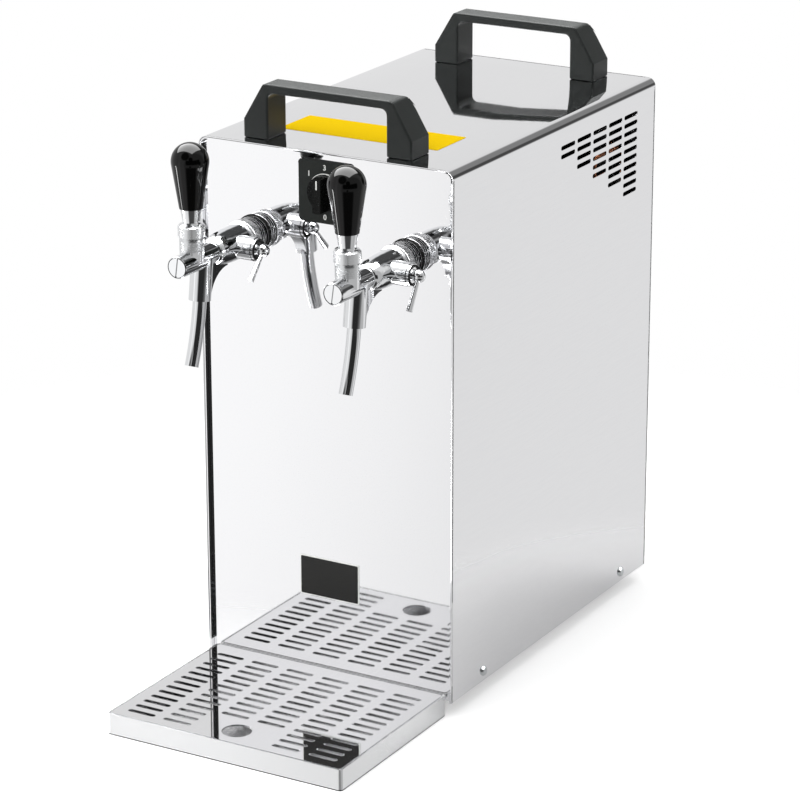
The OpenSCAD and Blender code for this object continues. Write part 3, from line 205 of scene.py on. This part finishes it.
# Black stoving enamel on the compressor shell and the condenser: an even gloss with a faint orange peel
enamel = worn_finish("stoving_enamel_sprayed", "#161718", "#0C0D0D", (0.22, 0.34), 1.2, bump_mm=0.03, Metallic=0.0)
# Drawn copper pipe, lightly oxidised: warm, with duller patches
copper = worn_finish("copper_pipe_drawn", "#C98763", "#A9643F", (0.22, 0.38), 3.0, Metallic=1.0)
# Cut polyurethane foam: pale, open cells
foam = worn_finish("polyurethane_foam_cut", "#EDE4CC", "#D6C9A8", (0.8, 0.95), 1.0, bump_mm=0.3, Metallic=0.0)
# Milky polyethylene beer hose: pale and waxy
hose = worn_finish("polyethylene_hose_extruded", "#E4E9EC", "#D3DADE", (0.25, 0.38), 3.0, Metallic=0.0)
# Yellow vinyl film: matt, with a faint calender grain
yellow_film = worn_finish("vinyl_film_calendered", "#EBC60A", "#E2BB06", (0.7, 0.8), 2.0, Metallic=0.0,
                          Specular_IOR_Level=0.02)
# Black lacquer on a thin brass plate: half gloss
plate_lacquer = worn_finish("brass_plate_lacquered", "#1C1B19", "#121211", (0.3, 0.42), 0.9, Metallic=0.0,
                            Specular_IOR_Level=0.3)
# White pad-printing ink: flat and a little uneven
white_ink = worn_finish("pad_printing_ink", "#F2F3F0", "#DEE0DC", (0.5, 0.6), 0.4, Metallic=0.0)

finish_of_slot = {
    "polished_steel": polished_steel, "zinc_screw": zinc, "black_plastic": satin_nylon, "black_phenolic": phenolic,
    "rubber": rubber, "grey_acetal": acetal, "aluminium": aluminium, "black_enamel": enamel, "copper": copper,
    "foam": foam, "beer_hose": hose, "chrome": chrome,
}
finish_of_node = {"thermostat_plate": abs_plate, "thermostat_knob": abs_knob, "condenser": enamel,
                  "drip_tray": brushed_steel}
for side in SIDES:
    finish_of_node |= {f"{side}_lever_collar": satin_chrome, f"{side}_tap_collar": collar_chrome,
                       f"{side}_tap_shank": collar_chrome, f"{side}_lever": lever_chrome}


def rounded_shading():
    """A node group that merges the loose triangles of a solid and shades it as round across its shallow edges."""
    group = bpy.data.node_groups.new("rounded_shading", "GeometryNodeTree")
    group.interface.new_socket("Geometry", in_out="INPUT", socket_type="NodeSocketGeometry")
    group.interface.new_socket("Geometry", in_out="OUTPUT", socket_type="NodeSocketGeometry")
    start = add(group, "NodeGroupInput")
    merged = add(group, "GeometryNodeMergeByDistance", values={"Distance": WELD}, links={"Geometry": start.outputs[0]})
    angle = add(group, "GeometryNodeInputMeshEdgeAngle")
    soft = add(group, "FunctionNodeCompare", {"data_type": "FLOAT", "operation": "LESS_THAN"},
               {1: ROUND_UNDER}, {0: angle.outputs[0]})
    faces = add(group, "GeometryNodeSetShadeSmooth", {"domain": "FACE"}, {"Shade Smooth": True},
                {"Geometry": merged.outputs[0]})
    edges = add(group, "GeometryNodeSetShadeSmooth", {"domain": "EDGE"},
                links={"Geometry": faces.outputs[0], "Shade Smooth": soft.outputs[0]})
    add(group, "NodeGroupOutput", links={0: edges.outputs[0]})
    return group


# Widths of the broken edges that catch the light, in millimetres
edge_of_node = {"front_handle": 1.6, "rear_handle": 1.6, "thermostat_plate": 0.6}

shading = rounded_shading()
for part in frame["record"]["subparts"]:
    solid = nodes[part["node"]]
    solid.data.materials.clear()
    solid.data.materials.append(finish_of_node.get(part["node"], finish_of_slot[part["material_slot"]]))
    edge_mm = edge_of_node.get(part["node"], 0)
    if edge_mm:
        solid.modifiers.new("merge", "WELD").merge_threshold = WELD
        edge = solid.modifiers.new("edge", "BEVEL")
        edge.width, edge.segments, edge.limit_method = edge_mm * MM, 3, "ANGLE"
        edge.angle_limit, edge.use_clamp_overlap = BREAK_OVER, False
    solid.modifiers.new("rounded_shading", "NODES").node_group = shading
    if edge_mm:
        flat = solid.modifiers.new("flat_faces", "WEIGHTED_NORMAL")
        flat.mode, flat.weight, flat.keep_sharp = "FACE_AREA", 100, True


# Trim: every piece is a mesh in place, in metres; all but the figures on the dial are worked out as whole arrays
def ride_piece(name, mesh, material, body):
    """An object for a finished mesh, which rides on a body."""
    mesh.materials.clear()
    mesh.materials.append(material)
    piece = bpy.data.objects.new(name, mesh)
    scene.collection.objects.link(piece)
    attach(piece, body)
    return piece


def new_piece(name, points, faces, material, body, smooth=True):
    """A piece from an (n, 3) array of points in millimetres and its faces."""
    mesh = bpy.data.meshes.new(name)
    mesh.from_pydata((np.asarray(points) * MM).tolist(), [], faces)
    mesh.polygons.foreach_set("use_smooth", np.full(len(mesh.polygons), smooth))
    return ride_piece(name, mesh, material, body)


def grid_faces(n, m):
    """Quads between neighbours on a grid of n by m points that closes on itself both ways."""
    i, j = np.meshgrid(np.arange(n), np.arange(m), indexing="ij")
    a, b = (i + 1) % n, (j + 1) % m
    return np.stack([i * m + j, a * m + j, a * m + b, i * m + b], axis=-1).reshape(-1, 4).tolist()


def turned_ring(name, centre, axis, profile, material, body, teeth=0, depth=0.0, count=96):
    """A closed profile of (radius, along) carried round an axis.

    Point (u, v) = centre + along(v) axis + radius(v) (cos u e1 + sin u e2). Where teeth are asked for, the radii past
    their mean swell and shrink by depth, as a triangle wave in u.
    """
    axis = np.array(axis, float)
    e1 = np.cross(axis, (0.0, 0.0, 1.0))
    e1 /= np.linalg.norm(e1)
    e2 = np.cross(axis, e1)
    profile = np.array(profile, float)
    u = np.linspace(0, 2 * math.pi, count, endpoint=False)[:, None]
    radius = np.repeat(profile[None, :, 0], count, axis=0)
    if teeth:
        wave = 2 * np.abs((u * teeth / (2 * math.pi)) % 1 - 0.5)
        radius = radius - depth * wave * (radius > profile[:, 0].mean())
    points = (np.array(centre)[None, None, :] + profile[None, :, 1, None] * axis
              + radius[..., None] * (np.cos(u)[..., None] * e1 + np.sin(u)[..., None] * e2))
    return new_piece(name, points.reshape(-1, 3), grid_faces(count, len(profile)), material, body,
                     smooth=not teeth)


def round_section(radius, size, n=12):
    """A small circle of the given size round a ring's radius, as a profile."""
    a = np.linspace(0, 2 * math.pi, n, endpoint=False)
    return np.stack([radius + size * np.cos(a), size * np.sin(a)], axis=1)


def round_rectangle(w, h, r, n=8):
    """The outline of a rectangle counter-clockwise about its middle: a quarter circle of radius r at each corner."""
    a = np.linspace(0, math.pi / 2, n)
    turn = (np.arange(4)[:, None] * math.pi / 2 + a[None, :]).ravel()
    sign = np.repeat(np.array([(1, 1), (-1, 1), (-1, -1), (1, -1)], float), n, axis=0)
    return sign * (np.array([w, h]) / 2 - r) + r * np.stack([np.cos(turn), np.sin(turn)], axis=1)


def slab(name, outline, origin, right, up, thick, material, body, slot):
    """A flat outline carried straight through a thickness: point = origin + x right + y up + t (right x up)."""
    right, up = np.array(right, float), np.array(up, float)
    out = np.cross(right, up)
    flat = np.array(origin) + outline[:, :1] * right + outline[:, 1:] * up
    n = len(outline)
    k = np.arange(n)
    sides = np.stack([k, (k + 1) % n, (k + 1) % n + n, k + n], axis=1).tolist()
    faces = sides + [k[::-1].tolist(), (k + n).tolist()]
    return new_piece(name, np.concatenate([flat, flat + thick * out]), faces, material, body, smooth=False)


wrap_low, wrap_high = box_mm("casing_wrap")
knob_low, knob_high = box_mm("thermostat_knob")
panel_y = box_mm("front_panel")[0][1]
plate_y = box_mm("thermostat_plate")[0][1]
# The directions to the right and up on the front, and on the top
ON_FRONT = ((1, 0, 0), (0, 0, 1))
ON_TOP = ((1, 0, 0), (0, 1, 0))


def hem(name, y, ahead):
    """The rolled edge of the wrap: up one side, over the top and down the other, with a quarter turn at each corner.

    Point (s, v) = outline(s) - inward(v) out(s) + forward(v) along y, where out(s) is square to the outline; inward
    and forward follow a quarter round that faces ahead at the outer skin and inwards where it ends.
    """
    nose, sunk, bend, turns, steps = 2.0, 1.6, 7.0, 17, 10
    x, top = wrap_high[0] - bend, wrap_high[2] - bend
    turn = np.radians(np.concatenate([np.linspace(180, 90, turns), np.linspace(90, 0, turns)]))
    out = np.stack([np.cos(turn), np.zeros(2 * turns), np.sin(turn)], axis=1)
    corner = np.stack([np.repeat([-x, x], turns), np.full(2 * turns, y), np.full(2 * turns, top)], axis=1)
    over = corner + bend * out
    foot = over[[0, -1]] * (1, 1, 0) + (0, 0, wrap_low[2])
    outline = np.concatenate([foot[:1], over, foot[1:]])
    out = np.concatenate([out[:1], out, out[-1:]])
    v = np.radians(np.linspace(0, 90, steps))
    inward = np.append(nose * np.sin(v), 0.0)
    forward = np.append(nose * np.cos(v), 0.0) - sunk
    points = (outline[:, None, :] - inward[None, :, None] * out[:, None, :]
              + ahead * forward[None, :, None] * np.array([0.0, 1.0, 0.0]))
    n, m = points.shape[:2]
    i, j = np.meshgrid(np.arange(n - 1), np.arange(m), indexing="ij")
    after = (j + 1) % m
    sides = np.stack([i * m + j, i * m + after, (i + 1) * m + after, (i + 1) * m + j], axis=-1).reshape(-1, 4)
    ends = np.stack([np.arange(m)[::-1], (n - 1) * m + np.arange(m)])
    faces = sides[:, ::-ahead].tolist() + ends[:, ::-ahead].tolist()
    piece = new_piece(name, points.reshape(-1, 3), faces, polished_steel, "cabinet")
    piece.modifiers.new("rounded_shading", "NODES").node_group = shading


def front_plate():
    """The bare plate low on the front: a black face on a thin pale rim, both slabs with round corners."""
    height, rim_thick, face_thick = 91.5, 0.5, 0.3
    slab("front_plate_rim", round_rectangle(52.6, 32.6, 1.0), (0.0, panel_y, height), *ON_FRONT, rim_thick,
         white_ink, "cabinet", "black_plastic")
    slab("front_plate_face", round_rectangle(50.8, 30.8, 0.8), (0.0, panel_y - rim_thick, height), *ON_FRONT,
         face_thick, plate_lacquer, "cabinet", "black_plastic")


def top_film():
    """A bare strip of yellow film on the top, between the handles: a slab with round corners."""
    middle_x, middle_y, thick = 1.0, -32.75, 0.15
    slab("top_film", round_rectangle(138.0, 45.0, 1.5), (middle_x, middle_y, wrap_high[2]), *ON_TOP, thick,
         yellow_film, "cabinet", "black_plastic")


def dial_marks():
    """White marks on the thermostat plate and its knob: a crescent, figures and a pointer.

    The crescent lies between an arc of one radius and an arc whose radius grows evenly clockwise. The figures stand
    on a circle about the knob, each on its own bearing.
    """
    steps, inner, outer_start, outer_end, crescent_thick = 48, 14.0, 14.25, 16.0, 0.08
    figure_size, figure_circle, figure_half, bolder, figure_weld = 5.6, 19.0, 0.04, 0.12, 0.001
    pointer_out, pointer_thick = 8.5, 0.06
    centre = np.array([(knob_low[0] + knob_high[0]) / 2, plate_y, (knob_low[2] + knob_high[2]) / 2])
    turn = np.radians(np.linspace(150, -30, steps))
    arc = np.stack([np.cos(turn), np.sin(turn)], axis=1)
    outer = np.linspace(outer_start, outer_end, steps)[:, None]
    slab("dial_crescent", np.concatenate([inner * arc, (outer * arc)[::-1]]), centre, *ON_FRONT, crescent_thick,
         white_ink, "cabinet", "black_plastic")
    for figure, degrees in (("1", 136), ("3", 90), ("5", 44), ("7", -2), ("0", 270)):
        words = bpy.data.curves.new(f"dial_{figure}", "FONT")
        words.body = figure
        words.size = figure_size * MM
        words.align_x, words.align_y = "CENTER", "CENTER"
        words.extrude, words.offset = figure_half * MM, bolder * MM
        drawn = bpy.data.objects.new("drawn_figure", words)
        scene.collection.objects.link(drawn)
        mesh = bpy.data.meshes.new_from_object(drawn.evaluated_get(bpy.context.evaluated_depsgraph_get()))
        bpy.data.objects.remove(drawn)
        shape = bmesh.new()
        shape.from_mesh(mesh)
        bmesh.ops.remove_doubles(shape, verts=shape.verts, dist=figure_weld * MM)
        shape.to_mesh(mesh)
        shape.free()
        bearing = math.radians(degrees)
        middle = centre + figure_circle * np.array([math.cos(bearing), 0, math.sin(bearing)]) - (0, figure_half, 0)
        mesh.transform(Matrix.Translation(middle * MM) @ Matrix.Rotation(math.radians(90), 4, "X"))
        ride_piece(f"dial_figure_{figure}", mesh, white_ink, "cabinet")
    slab("knob_mark", round_rectangle(1.2, 7.0, 0.5), (centre[0], knob_low[1], centre[2] + pointer_out), *ON_FRONT,
         pointer_thick, white_ink, "thermostat_dial", "black_plastic")


def tap_trim(side):
    """Washers, knurl and seal of one tap, each a profile of (radius, along) turned about one of the tap's own axes."""
    cap_low, cap_high = box_mm(f"{side}_front_cap")
    collar_low, collar_high = box_mm(f"{side}_tap_collar")
    arm_end = box_mm(f"{side}_compensator_lever")[1][0]
    x, z = (cap_low[0] + cap_high[0]) / 2, (cap_low[2] + cap_high[2]) / 2
    ahead, rightward = (0, -1, 0), (1, 0, 0)

    hole, rim, thick, bevel = 13.0, 15.0, 1.0, 0.3
    washer = [(hole, 0.0), (rim, 0.0), (rim, thick - bevel), (rim - bevel, thick), (hole, thick)]
    turned_ring(f"{side}_panel_washer", (x, panel_y, z), ahead, washer, rubber, "cabinet")

    collar_r = (collar_high[0] - collar_low[0]) / 2
    root, lip, crest, bevel = collar_r - 0.6, collar_r + 0.1, collar_r + 0.5, 0.5
    behind, before = 9.0, 3.0
    back, front = panel_y - collar_high[1] + behind, panel_y - collar_low[1] - before
    knurl = [(root, back), (lip, back), (crest, back + bevel), (crest, front - bevel), (lip, front), (root, front)]
    turned_ring(f"{side}_collar_knurl", (x, panel_y, z), ahead, knurl, collar_chrome, "cabinet",
                teeth=60, depth=0.3, count=240)

    hole, rim, thick = 6.0, 7.9, 0.4
    shaft_out, ball_and_ring = 35.5, 9.4
    washer = [(hole, 0.0), (rim, 0.0), (rim, thick), (hole, thick)]
    turned_ring(f"{side}_compensator_washer", (arm_end - ball_and_ring, panel_y - shaft_out, z), rightward, washer,
                rubber, f"{side}_compensator", count=48)

    cap_r, proud, size = (cap_high[0] - cap_low[0]) / 2, 0.25, 0.28
    turned_ring(f"{side}_cap_seal", (x, cap_low[1], z), ahead, round_section(cap_r + proud, size), rubber, "cabinet",
                count=64)


hem("front_hem", wrap_low[1], -1)
hem("rear_hem", wrap_high[1], 1)
front_plate()
top_film()
dial_marks()
for side in SIDES:
    tap_trim(side)


def paper_floor():
    """A disc of white paper, which keeps the part's shadow; cameras and mirrors see it fade away further out."""
    corners, reach = 64, 0.75
    turn = np.linspace(0, 2 * math.pi, corners, endpoint=False)
    rim = np.stack([reach * np.cos(turn), reach * np.sin(turn), np.zeros(corners)], axis=1)
    mesh = bpy.data.meshes.new("studio_floor")
    mesh.from_pydata(rim.tolist(), [], [list(range(corners))])
    floor = bpy.data.objects.new("studio_floor", mesh)
    scene.collection.objects.link(floor)
    # White paper sweep with a faint tooth: cameras see it lifted to white, and mirrors see it fade sooner
    tooth_mm, camera_lift, mirror_stretch = 3.0, 0.44, 0.75
    fade_middle, fade_start, fade_end = (-0.05, 0.1, 0.0), 0.36, 0.66
    paper, tree, shader, place = new_material("white_paper_sweep", Metallic=0.0, Roughness=0.95)
    path = add(tree, "ShaderNodeLightPath")
    tooth = add(tree, "ShaderNodeTexNoise", values={"Scale": 1 / (tooth_mm * MM), "Detail": 2.0},
                links={"Vector": place})
    colour = add(tree, "ShaderNodeMix", COLOURS, {6: linear("#F6F6F6"), 7: linear("#FAFAFA")},
                 {"Factor": tooth.outputs[0]})
    tree.links.new(colour.outputs[2], shader.inputs["Base Color"])
    seen = add(tree, "ShaderNodeMath", {"operation": "MAXIMUM"},
               links={0: path.outputs["Is Camera Ray"], 1: path.outputs["Is Glossy Ray"]})
    lift = add(tree, "ShaderNodeMath", {"operation": "MULTIPLY"}, {1: camera_lift}, {0: path.outputs["Is Camera Ray"]})
    shader.inputs["Emission Color"].default_value = (1, 1, 1, 1)
    tree.links.new(lift.outputs[0], shader.inputs["Emission Strength"])
    offset = add(tree, "ShaderNodeVectorMath", {"operation": "SUBTRACT"}, {1: fade_middle}, {0: place})
    away = add(tree, "ShaderNodeVectorMath", {"operation": "LENGTH"}, links={0: offset.outputs[0]})
    sooner = add(tree, "ShaderNodeMath", {"operation": "MULTIPLY_ADD"}, {1: mirror_stretch, 2: 1.0},
                 {0: path.outputs["Is Glossy Ray"]})
    counted = add(tree, "ShaderNodeMath", {"operation": "MULTIPLY"},
                  links={0: away.outputs["Value"], 1: sooner.outputs[0]})
    fade = add(tree, "ShaderNodeMapRange", SMOOTH, {"From Min": fade_start, "From Max": fade_end},
               {"Value": counted.outputs[0]})
    gone = add(tree, "ShaderNodeMath", {"operation": "MULTIPLY"}, links={0: fade.outputs[0], 1: seen.outputs[0]})
    clear = add(tree, "ShaderNodeBsdfTransparent")
    mixed = add(tree, "ShaderNodeMixShader", links={0: gone.outputs[0], 1: shader.outputs[0], 2: clear.outputs[0]})
    tree.links.new(mixed.outputs[0], tree.nodes["Material Output"].inputs["Surface"])
    floor.data.materials.append(paper)


def white_studio():
    """The world: cameras see plain white, mirrors a studio, and matt surfaces light from the upper left front.

    The studio has a front wall and a back wall that are darker low down and high up, a whiter part of them at the
    left that ends softly, dark flags, a big softbox overhead and a thin strip of light at the left.
    """
    world = bpy.data.worlds.new("white_studio")
    scene.world = world
    world.use_nodes = True
    tree = world.node_tree
    tree.nodes.clear()
    path = add(tree, "ShaderNodeLightPath")
    ray = add(tree, "ShaderNodeTexCoord").outputs["Generated"]
    part = add(tree, "ShaderNodeSeparateXYZ", links={0: ray})

    # The front wall and the back wall, two slopes each: the heights that a slope runs between and the levels at its
    # two ends; a wall takes the lower of its slopes
    walls = [[(-0.66, -0.5, 0.3, 1.12), (-0.2, 0.3, 1.12, 0.98)],
             [(-0.42, -0.33, 0.74, 0.9), (0.0, 0.35, 0.9, 0.78)]]
    heights = []
    for slopes in walls:
        ends = [add(tree, "ShaderNodeMapRange", SMOOTH, dict(zip(("From Min", "From Max", "To Min", "To Max"), slope)),
                    {"Value": part.outputs["Z"]}) for slope in slopes]
        heights.append(add(tree, "ShaderNodeMath", {"operation": "MINIMUM"},
                           links={0: ends[0].outputs[0], 1: ends[1].outputs[0]}))
    around = add(tree, "ShaderNodeMapRange", SMOOTH, {"From Min": -0.3, "From Max": 0.4},
                 {"Value": part.outputs["Y"], "To Min": heights[0].outputs[0], "To Max": heights[1].outputs[0]})
    white_x = -0.55
    off = add(tree, "ShaderNodeMath", {"operation": "SUBTRACT"}, {1: white_x}, {0: part.outputs["X"]})
    aside = add(tree, "ShaderNodeMath", {"operation": "ABSOLUTE"}, links={0: off.outputs[0]})
    most = add(tree, "ShaderNodeMapRange", SMOOTH,
               {"From Min": 0.02, "From Max": 0.16, "To Min": 1.1, "To Max": 0.82}, {"Value": aside.outputs[0]})
    level = add(tree, "ShaderNodeMath", {"operation": "MINIMUM"}, links={0: around.outputs[0], 1: most.outputs[0]})

    # Each flag: the direction it hangs in, the angles where it is full and where it ends, its depth, and the middle
    # and half of the heights where it is full; beyond those it thins to nothing
    flags = [((0.56, 0.82, 0.12), 6, 17, 0.92, 0.0, 1.0),
             ((0.25, 0.82, 0.5), 10, 24, 0.7, 0.0, 1.0),
             ((0.88, -0.45, -0.14), 58, 70, 0.4, 0.0, 1.0),
             ((0.766, -0.643, 0.08), 38, 48, 0.95, 0.06, 0.16),
             ((0.5, -0.62, -0.6), 22, 34, 0.85, -0.65, 0.14),
             ((0.515, -0.785, -0.345), 3.5, 6.5, 0.95, 0.0, 1.0),
             ((-0.05, -0.74, 0.62), 18, 28, 0.9, 0.0, 1.0),
             ((0.55, -0.72, 0.4), 9, 15, 0.95, 0.0, 1.0)]
    thinning = 0.15
    for axis, full, end, depth, height, half in flags:
        near = add(tree, "ShaderNodeVectorMath", {"operation": "DOT_PRODUCT"}, {1: Vector(axis).normalized()},
                   {0: ray})
        cone = add(tree, "ShaderNodeMapRange", SMOOTH,
                   {"From Min": math.cos(math.radians(end)), "From Max": math.cos(math.radians(full))},
                   {"Value": near.outputs["Value"]})
        off = add(tree, "ShaderNodeMath", {"operation": "SUBTRACT"}, {1: height}, {0: part.outputs["Z"]})
        away = add(tree, "ShaderNodeMath", {"operation": "ABSOLUTE"}, links={0: off.outputs[0]})
        thick = add(tree, "ShaderNodeMapRange", SMOOTH,
                    {"From Min": half, "From Max": half + thinning, "To Min": -depth, "To Max": 0.0},
                    {"Value": away.outputs[0]})
        kept = add(tree, "ShaderNodeMath", {"operation": "MULTIPLY_ADD"}, {2: 1.0},
                   {0: cone.outputs[0], 1: thick.outputs[0]})
        level = add(tree, "ShaderNodeMath", {"operation": "MULTIPLY"}, links={0: level.outputs[0], 1: kept.outputs[0]})

    # Each panel of light: the way to it, the two directions across it, its middle and its half widths along them as
    # tangents from straight ahead, and its brightness
    panels = [((0, 0, 1), ((1, 0, 0), (0, 1, 0)), (-0.6, 0.39), (1.2, 0.81), 9.0),
              ((-0.9, -0.43, 0), ((-0.43, 0.9, 0), (0, 0, 1)), (0.0, -0.6), (0.05, 0.26), 16.0)]
    full_share = 0.92
    for out, across, middle, half, bright in panels:
        toward = add(tree, "ShaderNodeVectorMath", {"operation": "DOT_PRODUCT"}, {1: out}, {0: ray})
        shown = add(tree, "ShaderNodeMath", {"operation": "GREATER_THAN"}, {1: 0.0}, {0: toward.outputs["Value"]})
        for axis, centre, width in zip(across, middle, half):
            aside = add(tree, "ShaderNodeVectorMath", {"operation": "DOT_PRODUCT"}, {1: axis}, {0: ray})
            slant = add(tree, "ShaderNodeMath", {"operation": "DIVIDE"},
                        links={0: aside.outputs["Value"], 1: toward.outputs["Value"]})
            off = add(tree, "ShaderNodeMath", {"operation": "SUBTRACT"}, {1: centre}, {0: slant.outputs[0]})
            away = add(tree, "ShaderNodeMath", {"operation": "ABSOLUTE"}, links={0: off.outputs[0]})
            edge = add(tree, "ShaderNodeMapRange", SMOOTH,
                       {"From Min": width * full_share, "From Max": width, "To Min": 1.0, "To Max": 0.0},
                       {"Value": away.outputs[0]})
            shown = add(tree, "ShaderNodeMath", {"operation": "MULTIPLY"},
                        links={0: shown.outputs[0], 1: edge.outputs[0]})
        level = add(tree, "ShaderNodeMath", {"operation": "MULTIPLY_ADD"}, {1: bright},
                    {0: shown.outputs[0], 2: level.outputs[0]})

    # Matt surfaces get the soft light, also by way of a mirror
    key_direction = Vector((-0.45, -0.55, 0.7)).normalized()
    key = add(tree, "ShaderNodeVectorMath", {"operation": "DOT_PRODUCT"}, {1: key_direction}, {0: ray})
    soft = add(tree, "ShaderNodeMapRange", SMOOTH,
               {"From Min": -0.15, "From Max": 1.0, "To Min": 0.05, "To Max": 1.7}, {"Value": key.outputs["Value"]})
    matt = add(tree, "ShaderNodeMath", {"operation": "MAXIMUM"},
               links={0: path.outputs["Is Diffuse Ray"], 1: path.outputs["Diffuse Depth"]})
    plain = add(tree, "ShaderNodeMix", NUMBERS, {2: 1.0}, {"Factor": matt.outputs[0], 3: soft.outputs[0]})
    mirrored = add(tree, "ShaderNodeMath", {"operation": "SUBTRACT"},
                   links={0: path.outputs["Is Glossy Ray"], 1: path.outputs["Diffuse Depth"]})
    strength = add(tree, "ShaderNodeMix", NUMBERS,
                   links={"Factor": mirrored.outputs[0], 2: plain.outputs[0], 3: level.outputs[0]})
    light = add(tree, "ShaderNodeBackground", values={"Color": (1, 1, 1, 1)}, links={"Strength": strength.outputs[0]})
    add(tree, "ShaderNodeOutputWorld", links={"Surface": light.outputs[0]})


def overhead_softbox():
    """One large square soft lamp above the part, to the left; mirrors see the world's softbox in its place."""
    place, aim, width, watts = Vector((-0.5, -0.2, 2.0)), Vector((0, -0.05, 0.3)), 1.2, 7.0
    light = bpy.data.lights.new("overhead_softbox", "AREA")
    light.shape = "SQUARE"
    light.size, light.energy = width, watts
    lamp = bpy.data.objects.new("overhead_softbox", light)
    lamp.location = place
    lamp.rotation_euler = (aim - place).to_track_quat("-Z", "Y").to_euler()
    lamp.visible_glossy = False
    scene.collection.objects.link(lamp)


def photo_camera():
    """The photograph's camera, found by fitting the case's edges: a long lens, above and to the right."""
    place, back, roll = (1.2644, -2.18595, 1.0706), Vector((0.4722, -0.8202, 0.3231)).normalized(), -0.09
    data = bpy.data.cameras.new("photo_camera")
    data.sensor_fit = "HORIZONTAL"
    data.sensor_width, data.lens = 36.0, 152.87
    camera = bpy.data.objects.new("photo_camera", data)
    scene.collection.objects.link(camera)
    side = Vector((0, 0, 1)).cross(back).normalized()
    aim = Matrix((side, back.cross(side), back)).transposed().to_4x4()
    camera.matrix_world = Matrix.Translation(place) @ aim @ Matrix.Rotation(math.radians(roll), 4, "Z")
    scene.camera = camera


paper_floor()
white_studio()
overhead_softbox()
photo_camera()
